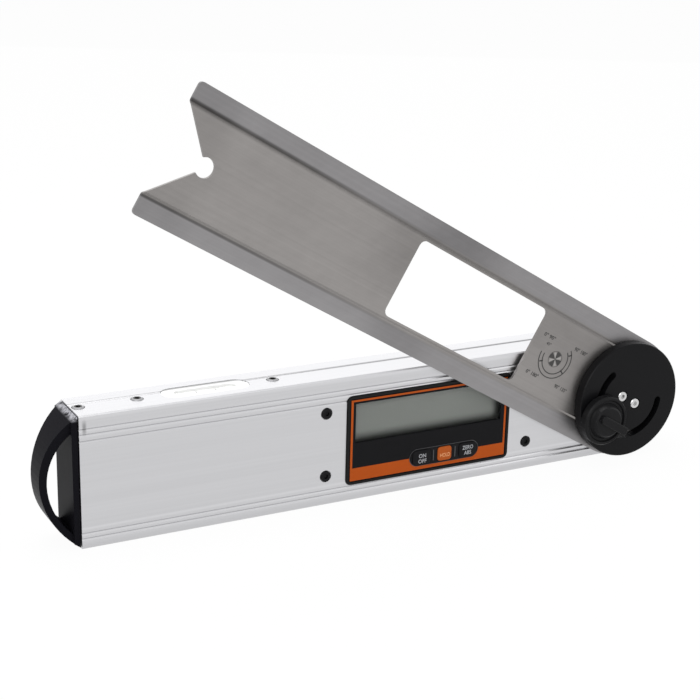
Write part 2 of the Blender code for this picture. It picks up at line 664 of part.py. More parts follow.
def make_lcd(mat):
    """The display glass behind the ledge."""
    (left, low), _, (right, high), _ = lcd_opening()
    outline = box(left - LCD_OVERLAP, right + LCD_OVERLAP, low - LCD_OVERLAP, high + LCD_OVERLAP)
    return prism("lcd_panel", outline, FRONT + LCD_FRONT, FRONT + LCD_FRONT + LCD_THICKNESS, "Y", mat)


def make_board(mat):
    """The circuit board behind the display."""
    length = BEZEL_LENGTH + 2 * BOARD_MARGIN
    outline = centred(BEZEL_MID_X, BEZEL_MID_Z, length, BEZEL_HEIGHT)
    return prism("circuit_board", outline, FRONT + BOARD_FRONT, FRONT + BOARD_BACK, "Y", mat)


def make_tray(mat):
    """The tray that the front screws hold: a plate behind the board, four bosses and the cup of the cell."""
    length = BEZEL_LENGTH + 2 * TRAY_MARGIN
    low = WALL + TRAY_BELOW
    high = BODY_HEIGHT - WALL - TRAY_ABOVE
    outline = centred(BEZEL_MID_X, (low + high) / 2, length, high - low, BEZEL_CORNER)
    back = TRAY_FRONT + TRAY_THICKNESS
    tray = prism("module_tray", outline, FRONT + TRAY_FRONT, FRONT + back, "Y", mat)
    for x, z in tray_screw_places():
        boss = circle(x, z, TRAY_BOSS_RADIUS, SMALL_STEPS)
        join(tray, prism("tray_boss", boss, FRONT + WALL + GAP, FRONT + back - WELD, "Y"))
        hole = circle(x, z, SCREW_RADIUS + GAP, SMALL_STEPS)
        cut(tray, hole, FRONT, FRONT + SCREW_HEAD - SCREW_PROUD + SCREW_LENGTH + GAP)
    cup_radius = CELL_RADIUS + GAP + CELL_CUP_WALL
    cup_floor = CELL_FRONT - 2 * GAP - CELL_CONTACT
    cup = circle(BEZEL_MID_X, BEZEL_MID_Z, cup_radius, FINE_STEPS // 2)
    join(tray, prism("cell_cup", cup, FRONT + TRAY_FRONT + WELD, FRONT + CELL_CAP_FRONT - GAP, "Y"))
    cut(tray, circle(BEZEL_MID_X, BEZEL_MID_Z, CELL_RADIUS + GAP, FINE_STEPS // 2), FRONT + cup_floor, BACK)
    return tray


def make_cell(mat):
    """The coin cell."""
    outline = circle(BEZEL_MID_X, BEZEL_MID_Z, CELL_RADIUS, FINE_STEPS // 2)
    return prism("coin_cell", outline, FRONT + CELL_FRONT, FRONT + CELL_BACK, "Y", mat)


def make_cell_contact(mat):
    """The contact strip under the cell."""
    length = 2 * CELL_RADIUS - CELL_CUP_WALL
    outline = centred(BEZEL_MID_X, BEZEL_MID_Z, length, CELL_CONTACT_WIDTH)
    back = CELL_FRONT - GAP
    return prism("cell_contact", outline, FRONT + back - CELL_CONTACT, FRONT + back, "Y", mat)


def make_cell_cap(mat):
    """The round cap in the back wall, with a slot for a coin."""
    centre = Vector((BEZEL_MID_X, FRONT, BEZEL_MID_Z))
    boss = CELL_BACK + GAP
    face = BODY_DEPTH
    profile = [(0, boss), (CELL_RADIUS, boss), (CELL_RADIUS, CELL_CAP_FRONT), (CELL_CAP_RADIUS, CELL_CAP_FRONT),
               (CELL_CAP_RADIUS, face - BODY_EDGE), (CELL_CAP_RADIUS - BODY_EDGE, face), (0, face)]
    cap = turned("battery_cap", profile, Vector((0, 0, 0)), "Y", FINE_STEPS // 2, mat)
    slot = centred(0, 0, COIN_SLOT_LENGTH, COIN_SLOT_WIDTH)
    cut(cap, slot, face - COIN_SLOT_DEPTH, face + OVERRUN)
    return on_axis("battery_cap_axis", centre, [cap])


def on_axis(name, place, pieces, turn_deg=0.0):
    """Hangs moving pieces, modelled round the origin, on an empty that stands on their axis."""
    axis = bpy.data.objects.new(name, None)
    bpy.context.scene.collection.objects.link(axis)
    axis.location = place
    axis.rotation_euler = (0, math.radians(turn_deg), 0)
    for piece in pieces:
        piece.parent = axis
        for mod in piece.modifiers:
            if mod.type == "BOOLEAN":
                mod.object.parent = axis
    return axis


def make_vial(mat):
    """The clear block of the level vial, which fills the slot in the top wall."""
    outline = centred(VIAL_X, VIAL_Y, VIAL_LENGTH, VIAL_WIDTH, VIAL_WIDTH / 2 - GAP)
    top = BODY_HEIGHT - VIAL_SINK
    return prism("level_vial", outline, top - VIAL_HEIGHT, top, "Z", mat)


def make_cradle(mat):
    """The cradle that holds the vial under the top wall, with a screw at each end."""
    length = 2 * VIAL_SCREW_SPREAD + CRADLE_END
    width = VIAL_WIDTH + 2 * GAP + 2 * CRADLE_WALL
    top = BODY_HEIGHT - WALL - GAP
    floor = BODY_HEIGHT - VIAL_SINK - VIAL_HEIGHT - GAP
    outline = centred(VIAL_X, VIAL_Y, length, width, CRADLE_WALL)
    cradle = prism("vial_cradle", outline, floor - CRADLE_WALL, top, "Z", mat)
    pocket = centred(VIAL_X, VIAL_Y, VIAL_LENGTH + 2 * GAP, VIAL_WIDTH + 2 * GAP, VIAL_WIDTH / 2)
    cut(cradle, pocket, floor, top + OVERRUN, "Z")
    for x in (VIAL_X - VIAL_SCREW_SPREAD, VIAL_X + VIAL_SCREW_SPREAD):
        hole = circle(x, FRONT + TOP_SCREW_FROM_FRONT, SCREW_RADIUS + GAP, SMALL_STEPS)
        cut(cradle, hole, floor - CRADLE_WALL - OVERRUN, top + OVERRUN, "Z")
    return cradle


def make_flex(mat):
    """The flat cable from the board to the stator, with one step back."""
    start = BEZEL_MID_X + BEZEL_LENGTH / 2 + BOARD_MARGIN + GAP
    end = PIVOT_X - STATOR_RADIUS - GAP
    near = FRONT + BOARD_FRONT + BOARD_THICKNESS / 2
    far = FRONT + STATOR_FRONT + GAP
    path = [(start, near), (start + FLEX_RUN, near), (end - FLEX_RUN, far), (end, far)]
    outline = path + [(x, y + FLEX_THICKNESS) for x, y in path[::-1]]
    return prism("encoder_flex", outline, PIVOT_Z + BUTTON_LIP, PIVOT_Z + BUTTON_LIP + FLEX_WIDTH, "Z", mat)


def blade_section():
    """The sheet in Y and Z: flat strips along both edges, and the web raised towards the front."""
    half = ARM_WIDTH / 2
    bend = half - STRIP_WIDTH
    top = bend - WEB_SLOPE
    front = STRIP_BACK - SHEET
    face = [(front, -half), (front, -bend), (WEB_FRONT, -top), (WEB_FRONT, top), (front, bend), (front, half)]
    back = [(STRIP_BACK, half), (STRIP_BACK, bend), (WEB_BACK, top), (WEB_BACK, -top), (STRIP_BACK, -bend),
            (STRIP_BACK, -half)]
    return face + back


def rounded(before, corner, after, radius):
    """The arc that rounds a corner of an outline, between the two sides that meet there."""
    corner = Vector(corner)
    first = (Vector(before) - corner).normalized()
    second = (Vector(after) - corner).normalized()
    half = first.angle(second) / 2
    centre = corner + (first + second).normalized() * (radius / math.sin(half))
    start = corner + first * (radius / math.tan(half)) - centre
    sweep = start.angle_signed(corner + second * (radius / math.tan(half)) - centre)
    turns = [-sweep * i / CORNER_STEPS for i in range(CORNER_STEPS + 1)]
    return [tuple(centre + Matrix.Rotation(turn, 2) @ start) for turn in turns]


def blade_outline():
    """The blade seen from the front: round at the pivot, with a V notch at the free end, closed to the left."""
    half = ARM_WIDTH / 2
    end = -ARM_REACH
    mouth = half - STRIP_WIDTH
    apex = (end + NOTCH_DEPTH, 0)
    tip = (end, half)
    lip = (end, mouth)
    points = arc(0, 0, half, -90, 90, FINE_STEPS // 2)
    upper = rounded((0, half), tip, lip, ARM_CORNER) + rounded(tip, lip, apex, NOTCH_CORNER)
    lower = [(x, -z) for x, z in upper[::-1]]
    return points + upper + [apex] + lower


def slot_range():
    """The ends of the slot's centre line in the arm's own frame, in degrees."""
    return BOLT_ANGLE_DEG - SLOT_SPARE_DEG, BOLT_ANGLE_DEG + ARM_TRAVEL_DEG


def hub_screw_places():
    """The two screws of the hub stand on the arm's centre line, as x."""
    return (-HUB_SCREW_SPACING / 2, HUB_SCREW_SPACING / 2)


def make_blade(mat):
    """The swinging arm: a formed sheet trimmed to its outline, with its window and holes."""
    blade = prism("arm_blade", blade_section(), -ARM_REACH - OVERRUN, ARM_WIDTH, "X", mat)
    trim = prism("blade_trim", blade_outline(), WEB_FRONT - OVERRUN, STRIP_BACK + OVERRUN, "Y")
    boolean(blade, trim, "INTERSECT")
    through = (WEB_FRONT - OVERRUN, STRIP_BACK + OVERRUN)
    window = box(-WINDOW_START - WINDOW_LENGTH, -WINDOW_START, -WINDOW_WIDTH / 2, WINDOW_WIDTH / 2, WINDOW_CORNER)
    cut(blade, window, *through)
    cut(blade, circle(RELIEF_FROM_END - ARM_REACH, 0, RELIEF_RADIUS, ROUND_STEPS), *through)
    cut(blade, arc_slot(SLOT_RADIUS, BOLT_RADIUS + GAP, *slot_range()), *through)
    for x in hub_screw_places():
        cut(blade, circle(x, 0, HUB_SCREW_RADIUS + GAP, SMALL_STEPS), *through)
    return blade


def make_hub_disc(mat):
    """The moulded disc in front of the arm, with the arc slot and two sunk screw seats."""
    back = HUB_BACK
    front = HUB_FRONT
    rim = HUB_RADIUS - HUB_CHAMFER
    profile = [(0, back), (HUB_RADIUS, back), (HUB_RADIUS, front + HUB_CHAMFER), (rim, front), (0, front)]
    disc = turned("hub_disc", profile, Vector((0, 0, 0)), "Y", FINE_STEPS, mat)
    through = (front - OVERRUN, back + OVERRUN)
    cut(disc, arc_slot(SLOT_RADIUS, BOLT_RADIUS + GAP, *slot_range()), *through)
    for x in hub_screw_places():
        cut(disc, circle(x, 0, HUB_SCREW_RADIUS + GAP, SMALL_STEPS), *through)
        seat = circle(x, 0, HUB_SCREW_HEAD_RADIUS + GAP, SMALL_STEPS)
        cut(disc, seat, front - OVERRUN, front + HUB_SCREW_HEAD_HEIGHT + GAP)
    return disc


def make_hub_screw(name, x, mat):
    """A socket screw that clamps the disc and the blade to the rotor."""
    face = HUB_FRONT
    under = face + HUB_SCREW_HEAD_HEIGHT
    profile = [(0, face), (HUB_SCREW_HEAD_RADIUS - GAP, face), (HUB_SCREW_HEAD_RADIUS, face + GAP),
               (HUB_SCREW_HEAD_RADIUS, under), (HUB_SCREW_RADIUS, under),
               (HUB_SCREW_RADIUS, under + HUB_SCREW_LENGTH),
               (0, under + HUB_SCREW_LENGTH)]
    piece = turned(name, profile, Vector((x, 0, 0)), "Y", SMALL_STEPS, mat)
    cut(piece, circle(x, 0, HEX_SOCKET_RADIUS, 6), face - OVERRUN, face + HEX_SOCKET_DEPTH)
    return piece


def make_rotor(mat):
    """The rotor inside the bush: its flange keeps the arm on, and its boss carries the encoder disc."""
    front = WEB_BACK + GAP
    flange = BUSH_BACK + GAP
    profile = [(0, front), (NECK_RADIUS, front), (NECK_RADIUS, flange), (ROTOR_FLANGE_RADIUS, flange),
               (ROTOR_FLANGE_RADIUS, ROTOR_BACK), (ROTOR_BOSS_RADIUS, ROTOR_BACK), (ROTOR_BOSS_RADIUS, ENCODER_BACK),
               (0, ENCODER_BACK)]
    rotor = turned("pivot_rotor", profile, Vector((0, 0, 0)), "Y", FINE_STEPS // 2, mat)
    depth = HUB_FRONT + HUB_SCREW_HEAD_HEIGHT + HUB_SCREW_LENGTH + GAP
    for x in hub_screw_places():
        cut(rotor, circle(x, 0, HUB_SCREW_RADIUS + GAP, SMALL_STEPS), front - OVERRUN, depth)
    return rotor


def ring(name, inner, outer, low, high, mat):
    """A flat ring round the arm's axis."""
    profile = [(inner, low), (outer, low), (outer, high), (inner, high)]
    return turned(name, profile, Vector((0, 0, 0)), "Y", FINE_STEPS // 2, mat)


def make_arm_group(finishes):
    """All that swings with the arm, on one axis."""
    bore = NECK_RADIUS + GAP
    pieces = [make_blade(finishes["steel"]), make_hub_disc(finishes["plastic"]), make_rotor(finishes["bright"])]
    pieces.append(ring("thrust_washer", bore, bore + WASHER_WIDTH, WEB_BACK + GAP, -GAP, finishes["nylon"]))
    encoder = ring("encoder_rotor", ROTOR_BOSS_RADIUS + GAP, ENCODER_ROTOR_RADIUS, ROTOR_BACK + GAP, ENCODER_BACK,
                   finishes["board"])
    pieces.append(encoder)
    for number, x in enumerate(hub_screw_places(), 1):
        pieces.append(make_hub_screw(f"hub_screw_{number}", x, finishes["bright"]))
    on_axis("arm_axis", Vector((PIVOT_X, FRONT, PIVOT_Z)), pieces, OPENING_DEG)


def make_knob(mat):
    """The lock knob: a dished flange, a low dome and a lever across it, hollow behind for the insert."""
    back = KNOB_BACK
    face = back - KNOB_FLANGE
    top = face - KNOB_DOME
    rim = KNOB_RADIUS - KNOB_RIM
    profile = [(0, back), (KNOB_RADIUS - KNOB_EDGE, back), (KNOB_RADIUS, back - KNOB_EDGE),
               (KNOB_RADIUS, face + KNOB_EDGE), (KNOB_RADIUS - KNOB_EDGE, face), (rim, face),
               (rim - KNOB_EDGE, face + KNOB_DISH), (KNOB_DOME_RADIUS + KNOB_EDGE, face + KNOB_DISH),
               (KNOB_DOME_RADIUS, face), (KNOB_DOME_RADIUS - KNOB_DISH, top + KNOB_EDGE),
               (KNOB_DOME_RADIUS - 2 * KNOB_DISH, top), (0, top - KNOB_EDGE / 2)]
    knob = turned("lock_knob", profile, Vector((0, 0, 0)), "Y", FINE_STEPS // 2, mat)
    half = LEVER_WIDTH / 2
    outline = arc(-LEVER_TAIL, 0, half, 90, 270, 2 * CORNER_STEPS)
    outline += arc(LEVER_TIP - KNOB_EDGE, KNOB_EDGE - half, KNOB_EDGE, 270, 360, CORNER_STEPS)
    outline += arc(LEVER_TIP - KNOB_EDGE, half - KNOB_EDGE, KNOB_EDGE, 0, 90, CORNER_STEPS)
    lever = prism("knob_lever", outline, face - LEVER_HEIGHT, face + KNOB_FLANGE / 2, "Y")
    bevel(lever, KNOB_EDGE, 3, 50.0)
    join(knob, lever)
    recess = circle(0, 0, LOCK_WASHER_RADIUS + GAP, ROUND_STEPS)
    washer_front = back - LOCK_WASHER - GAP
    cut(knob, recess, washer_front, back + OVERRUN)
    hole = circle(0, 0, BOLT_RADIUS + GAP + INSERT_WALL + GAP, SMALL_STEPS)
    cut(knob, hole, washer_front - INSERT_LENGTH - GAP, back + OVERRUN)
    return knob


def make_lock_group(finishes):
    """The knob, its threaded insert and its washer, on the bolt's axis."""
    knob = make_knob(finishes["plastic"])
    washer = ring("lock_washer", BOLT_RADIUS + GAP, LOCK_WASHER_RADIUS, KNOB_BACK - LOCK_WASHER, KNOB_BACK,
                  finishes["bright"])
    start = KNOB_BACK - LOCK_WASHER - GAP
    bore = BOLT_RADIUS + GAP
    insert = ring("knob_insert", bore, bore + INSERT_WALL, start - INSERT_LENGTH, start, finishes["brass"])
    place = Vector((PIVOT_X + BOLT_X, FRONT, PIVOT_Z + BOLT_Z))
    on_axis("lock_axis", place, [knob, washer, insert], LEVER_TURN_DEG)


def make_buttons(finishes):
    """The three buttons with a lip behind the ledge, and the snap domes on the board."""
    lip_front = LEDGE_BACK + GAP
    lip_back = lip_front + BUTTON_FLANGE
    face = LENS_FRONT - BUTTON_PROUD
    for name, (x, z, width) in button_places().items():
        mat = finishes["orange"] if name == "hold_button" else finishes["plastic"]
        outline = centred(0, 0, width, BUTTON_HEIGHT, BUTTON_WIDTH / 5 - GAP)
        button = prism(name, outline, face, lip_front, "Y", mat)
        bevel(button, BUTTON_LIP / 2, 2, 50.0)
        size = (width + 2 * BUTTON_LIP, BUTTON_HEIGHT + 2 * BUTTON_LIP)
        lip = prism(name + "_lip", centred(0, 0, *size), lip_front - BUTTON_FLANGE / 2, lip_back, "Y")
        trim = centred(0, 0, *size)
        cut(lip, trim, lip_front - OVERRUN, lip_front)
        join(button, lip)
        on_axis(name + "_slide", Vector((x, FRONT, z)), [button])
        dome = prism(name.replace("button", "dome"), circle(x, z, DOME_RADIUS, SMALL_STEPS),
                     FRONT + lip_back + BUTTON_TRAVEL + GAP, FRONT + BOARD_FRONT - GAP, "Y", finishes["bright"])
        bevel(dome, FLEX_THICKNESS / 2, 1)


def make_screws(finishes):
    """The black screws in the front wall and the top wall."""
    for number, (x, z) in enumerate(tray_screw_places(), 1):
        screw(f"tray_screw_{number}", (x, FRONT, z), "Y", -1, finishes["screw"])
    for name, x in top_screw_places().items():
        screw(name, (x, FRONT + TOP_SCREW_FROM_FRONT, BODY_HEIGHT), "Z", 1, finishes["screw"])


def make_finishes():
    """The finish of each kind of part, by a short name."""
    return {
        "aluminium": finish("brushed aluminium", (0.62, 0.62, 0.64), 0.32, 1.0),
        "steel": finish("brushed stainless steel", (0.34, 0.33, 0.31), 0.38, 1.0),
        "bright": finish("bright steel", (0.75, 0.75, 0.75), 0.22, 1.0),
        "brass": finish("brass", (0.70, 0.52, 0.22), 0.30, 1.0),
        "plastic": finish("black moulded plastic", (0.012, 0.012, 0.014), 0.45),
        "screw": finish("black screw", (0.010, 0.010, 0.011), 0.35, 0.6),
        "orange": finish("orange button", (0.62, 0.14, 0.03), 0.45),
        "lens": finish("display lens", (0.05, 0.05, 0.05), 0.08),
        "lcd": finish("display glass", (0.20, 0.22, 0.19), 0.15),
        "board": finish("green circuit board", (0.03, 0.16, 0.07), 0.45),
        "nylon": finish("white nylon", (0.75, 0.74, 0.70), 0.50),
        "clear": finish("clear acrylic", (0.80, 0.85, 0.82), 0.06),
        "amber": finish("polyimide film", (0.45, 0.22, 0.05), 0.35),
    }


def main():
    """Clears the scene and builds the angle finder, opened at the angle of its rest pose."""
    for obj in list(bpy.data.objects):
        bpy.data.objects.remove(obj, do_unlink=True)
    finishes = make_finishes()
    make_body(finishes["aluminium"])
    make_end_cap(finishes["plastic"])
    make_pivot_cap(finishes["plastic"])
    make_lock_bolt(finishes["bright"])
    make_bush(finishes["nylon"])
    make_stator(finishes["board"])
    make_bezel(finishes["plastic"])
    make_lens(finishes["lens"])
    make_lcd(finishes["lcd"])
    make_board(finishes["board"])
    make_tray(finishes["plastic"])
    make_cell(finishes["bright"])
    make_cell_contact(finishes["bright"])
    make_cell_cap(finishes["plastic"])
    make_vial(finishes["clear"])
    make_cradle(finishes["nylon"])
    make_flex(finishes["amber"])
    make_arm_group(finishes)
    make_lock_group(finishes)
    make_buttons(finishes)
    make_screws(finishes)
    shade_all()


main()
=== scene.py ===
# %% [markdown]
# A digital angle finder, dressed for its picture
#
# This file gives them their finishes, adds the printed and moulded details, and sets the light and the camera.

# %% Imports and the CAD frame
import math

import bpy
from mathutils import Matrix, Vector


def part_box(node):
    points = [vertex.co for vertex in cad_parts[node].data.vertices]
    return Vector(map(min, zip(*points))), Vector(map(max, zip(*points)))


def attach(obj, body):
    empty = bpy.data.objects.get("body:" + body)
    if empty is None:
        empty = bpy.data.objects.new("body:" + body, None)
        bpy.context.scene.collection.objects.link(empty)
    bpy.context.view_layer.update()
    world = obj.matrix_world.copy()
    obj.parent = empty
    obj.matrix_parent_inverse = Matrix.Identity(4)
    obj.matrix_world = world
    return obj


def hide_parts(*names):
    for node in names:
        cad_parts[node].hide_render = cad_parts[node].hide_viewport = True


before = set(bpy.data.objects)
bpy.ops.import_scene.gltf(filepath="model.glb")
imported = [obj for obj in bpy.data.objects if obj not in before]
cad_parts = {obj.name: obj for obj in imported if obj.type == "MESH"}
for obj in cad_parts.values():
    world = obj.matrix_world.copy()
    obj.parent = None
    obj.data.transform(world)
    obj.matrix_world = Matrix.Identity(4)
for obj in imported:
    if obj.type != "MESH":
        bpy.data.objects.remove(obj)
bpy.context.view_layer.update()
print("CAD nodes:", len(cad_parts))

# %% [markdown]
# The camera stands in front of the left end and looks down a little, as in the photograph. Its place was found
# by fitting the edges of the body and of the arm, so it is written here as three axes and a point. A camera in
# Blender looks along its own -Z, so the third column is the viewing direction turned round.

# %% The camera
SENSOR_MM = 36
LENS_MM = 81.37
camera_right = Vector((0.88725, -0.46066, 0.02406))
camera_down = Vector((-0.12192, -0.28450, -0.95089))
camera_forward = Vector((0.44488, 0.84074, -0.30859))
camera_place = Vector((-0.32957, -0.60275, 0.28956))

camera_data = bpy.data.cameras.new("photo_camera")
camera_data.sensor_width = SENSOR_MM
camera_data.lens = LENS_MM
camera = bpy.data.objects.new("photo_camera", camera_data)
bpy.context.scene.collection.objects.link(camera)
turn = Matrix((camera_right, -camera_down, -camera_forward)).transposed().to_4x4()
camera.matrix_world = Matrix.Translation(camera_place) @ turn
bpy.context.scene.camera = camera
bpy.context.scene.view_settings.view_transform = "Standard"

# %% [markdown]
# The tool was photographed on white. The world and the floor are plain white to the camera and to whatever
# metal mirrors, through Light Path, while the light that really falls on the tool stays at a soft level.

# %% The white surroundings
WORLD_LIGHT = 0.55
FLOOR_SIZE = 6.0
FLOOR_WHITE = 0.82
FLOOR_GLOW = 0.96


def seen_directly(nodes, links):
    """A socket that is 1 for rays from the camera, from a mirror or through glass."""
    light_path = nodes.new("ShaderNodeLightPath")
    either = nodes.new("ShaderNodeMath")
    either.operation = "MAXIMUM"
    links.new(light_path.outputs["Is Camera Ray"], either.inputs[0])
    links.new(light_path.outputs["Is Glossy Ray"], either.inputs[1])
    any_of = nodes.new("ShaderNodeMath")
    any_of.operation = "MAXIMUM"
    links.new(either.outputs[0], any_of.inputs[0])
    links.new(light_path.outputs["Is Transmission Ray"], any_of.inputs[1])
    return any_of.outputs[0]


world = bpy.data.worlds.new("white_studio")
bpy.context.scene.world = world
world.use_nodes = True
nodes, links = world.node_tree.nodes, world.node_tree.links
background = nodes["Background"]
background.inputs["Color"].default_value = (1, 1, 1, 1)
level = nodes.new("ShaderNodeMapRange")
level.inputs["To Min"].default_value = WORLD_LIGHT
level.inputs["To Max"].default_value = 1.0
links.new(seen_directly(nodes, links), level.inputs["Value"])
links.new(level.outputs["Result"], background.inputs["Strength"])

bpy.ops.object.select_all(action="DESELECT")
bpy.ops.mesh.primitive_plane_add(size=FLOOR_SIZE, location=(0, 0, 0))
floor = bpy.context.object
floor.name = "floor"
floor_finish = bpy.data.materials.new("pale floor")
floor_finish.use_nodes = True
nodes, links = floor_finish.node_tree.nodes, floor_finish.node_tree.links
floor_paint = nodes["Principled BSDF"]
floor_paint.inputs["Base Color"].default_value = (FLOOR_WHITE, FLOOR_WHITE, FLOOR_WHITE, 1)
floor_paint.inputs["Roughness"].default_value = 0.9
floor_paint.inputs["Specular IOR Level"].default_value = 0.1
glow = nodes.new("ShaderNodeEmission")
glow.inputs["Color"].default_value = (1, 1, 1, 1)
blend = nodes.new("ShaderNodeMixShader")
share = nodes.new("ShaderNodeMath")
share.operation = "MULTIPLY"
share.inputs[1].default_value = FLOOR_GLOW
links.new(seen_directly(nodes, links), share.inputs[0])
links.new(share.outputs[0], blend.inputs["Fac"])
links.new(floor_paint.outputs["BSDF"], blend.inputs[1])
links.new(glow.outputs["Emission"], blend.inputs[2])
links.new(blend.outputs["Shader"], nodes["Material Output"].inputs["Surface"])
floor.data.materials.append(floor_finish)

# %% [markdown]
# Four soft lamps make the light of a product picture: a wide one overhead, one from the front left, a weak one
# from the right that opens the shadows, and one behind. The camera sees the last one mirrored in the top face of
# the body, which is why that face is almost white in the photograph.

# %% The lamps
def soft_lamp(name, place, target, size, power):
    """A square area lamp that faces a target."""
    data = bpy.data.lights.new(name, "AREA")
    data.shape = "SQUARE"
    data.size = size
    data.energy = power
    lamp = bpy.data.objects.new(name, data)
    bpy.context.scene.collection.objects.link(lamp)
    lamp.location = place
    lamp.rotation_euler = (Vector(target) - Vector(place)).to_track_quat("-Z", "Y").to_euler()
    return lamp


middle = (0.0, 0.0, 0.08)
soft_lamp("overhead_lamp", (-0.1, 0.25, 1.3), middle, 1.0, 14)
soft_lamp("front_lamp", (-0.9, -1.1, 0.8), middle, 0.9, 7)
soft_lamp("right_lamp", (1.2, -0.7, 0.5), middle, 0.8, 3)
soft_lamp("back_lamp", (0.62, 1.20, 0.55), middle, 1.2, 2.0)

# %% [markdown]
# Brushed metal is covered in fine lines that all run one way. One node group makes them for both metals: noise
# that is stretched along one axis, at two sizes. It puts out a value for the colour, one for the roughness, and
# a height for the bump.

# %% The grain of brushed metal
def value_node(tree, operation, *inputs):
    """A Math node with numbers or sockets on its inputs. It returns the output socket."""
    node = tree.nodes.new("ShaderNodeMath")
    node.operation = operation
    for slot, item in enumerate(inputs):
        if isinstance(item, (int, float)):
            node.inputs[slot].default_value = item
        else:
            tree.links.new(item, node.inputs[slot])
    return node.outputs[0]


def new_group(name, inputs, outputs):
    """An empty shader node group with float inputs, given as name and value, and named outputs."""
    tree = bpy.data.node_groups.new(name, "ShaderNodeTree")
    for label, kind, value in inputs:
        socket = tree.interface.new_socket(label, in_out="INPUT", socket_type=kind)
        if value is not None:
            socket.default_value = value
    for label, kind in outputs:
        tree.interface.new_socket(label, in_out="OUTPUT", socket_type=kind)
    start = tree.nodes.new("NodeGroupInput")
    end = tree.nodes.new("NodeGroupOutput")
    return tree, start, end


def noise(tree, vector, scale, detail=2.0):
    """A noise texture on a vector. It returns the value socket."""
    node = tree.nodes.new("ShaderNodeTexNoise")
    node.inputs["Scale"].default_value = scale
    node.inputs["Detail"].default_value = detail
    tree.links.new(vector, node.inputs["Vector"])
    return node.outputs["Fac"]


def stretch(tree, vector, scale, turn_deg=(0, 0, 0)):
    """A Mapping node that turns a vector and scales it. It returns the vector socket."""
    node = tree.nodes.new("ShaderNodeMapping")
    node.inputs["Scale"].default_value = scale
    node.inputs["Rotation"].default_value = [math.radians(t) for t in turn_deg]
    tree.links.new(vector, node.inputs["Vector"])
    return node.outputs["Vector"]


grain, grain_in, grain_out = new_group(
    "brushed grain",
    [("Vector", "NodeSocketVector", None), ("Strength", "NodeSocketFloat", 0.1)],
    [("Shade", "NodeSocketFloat"), ("Height", "NodeSocketFloat")])
fine = noise(grain, stretch(grain, grain_in.outputs["Vector"], (6, 900, 900)), 1.0, 3.0)
wide = noise(grain, stretch(grain, grain_in.outputs["Vector"], (2, 120, 120)), 1.0, 2.0)
FINE_SHARE = 0.6
lines = value_node(grain, "ADD", value_node(grain, "MULTIPLY", fine, FINE_SHARE),
                   value_node(grain, "MULTIPLY", wide, 1.0 - FINE_SHARE))
swing = value_node(grain, "SUBTRACT", lines, 0.5)
shade = value_node(grain, "ADD", 1.0, value_node(grain, "MULTIPLY", swing, grain_in.outputs["Strength"]))
grain.links.new(shade, grain_out.inputs["Shade"])
grain.links.new(lines, grain_out.inputs["Height"])

# %% [markdown]
# A moulded plastic face is never quite even. This group makes a fine pebble for the bump and a slow change of
# roughness, as a spark-eroded mould leaves it.

# %% The texture of moulded plastic
mould, mould_in, mould_out = new_group(
    "moulded texture",
    [("Vector", "NodeSocketVector", None), ("Roughness", "NodeSocketFloat", 0.45)],
    [("Roughness", "NodeSocketFloat"), ("Height", "NodeSocketFloat")])
pebble = noise(mould, mould_in.outputs["Vector"], 2600.0, 2.0)
patches = noise(mould, mould_in.outputs["Vector"], 60.0, 2.0)
change = value_node(mould, "MULTIPLY", value_node(mould, "SUBTRACT", patches, 0.5), 0.12)
mould.links.new(value_node(mould, "ADD", mould_in.outputs["Roughness"], change), mould_out.inputs["Roughness"])
mould.links.new(pebble, mould_out.inputs["Height"])


# %% [markdown]
# Each finish is a Principled material. The helpers below make the usual ones: a brushed metal, whose grain runs
# along a given direction of the piece, a moulded plastic, and a plain smooth finish.

# %% Makers of finishes
def new_finish(name, roughness, metallic=0.0):
    """A Principled material and its handy parts: the material, its tree and its shader."""
    mat = bpy.data.materials.new(name)
    mat.use_nodes = True
    shader = mat.node_tree.nodes["Principled BSDF"]
    shader.inputs["Roughness"].default_value = roughness
    shader.inputs["Metallic"].default_value = metallic
    return mat, mat.node_tree, shader


def object_vector(tree):
    """The Object output of a Texture Coordinate node."""
    return tree.nodes.new("ShaderNodeTexCoord").outputs["Object"]


def add_group(tree, group, vector, **values):
    """Places a node group in a material, with values on its inputs."""
    node = tree.nodes.new("ShaderNodeGroup")
    node.node_tree = group
    tree.links.new(vector, node.inputs["Vector"])
    for label, value in values.items():
        node.inputs[label.replace("_", " ")].default_value = value
    return node


def add_bump(tree, shader, height, strength, distance):
    """Feeds a height to the shader's normal."""
    bump = tree.nodes.new("ShaderNodeBump")
    bump.inputs["Strength"].default_value = strength
    bump.inputs["Distance"].default_value = distance
    tree.links.new(height, bump.inputs["Height"])
    tree.links.new(bump.outputs["Normal"], shader.inputs["Normal"])


def tinted(tree, colour, shade):
    """A colour multiplied by a value. It returns the colour socket."""
    node = tree.nodes.new("ShaderNodeVectorMath")
    node.operation = "SCALE"
    node.inputs[0].default_value = colour
    tree.links.new(shade, node.inputs["Scale"])
    return node.outputs["Vector"]


def moulded_plastic(name, colour, roughness, bump=0.15, ior=1.45):
    """Plastic with the texture of its mould. A low IOR keeps a black face black at its edges too."""
    mat, tree, shader = new_finish(name, roughness)
    shader.inputs["IOR"].default_value = ior
    texture = add_group(tree, mould, object_vector(tree), Roughness=roughness)
    shade = value_node(tree, "ADD", 0.9, value_node(tree, "MULTIPLY", texture.outputs["Height"], 0.2))
    tree.links.new(tinted(tree, colour, shade), shader.inputs["Base Color"])
    tree.links.new(texture.outputs["Roughness"], shader.inputs["Roughness"])
    add_bump(tree, shader, texture.outputs["Height"], bump, 0.00004)
    return mat


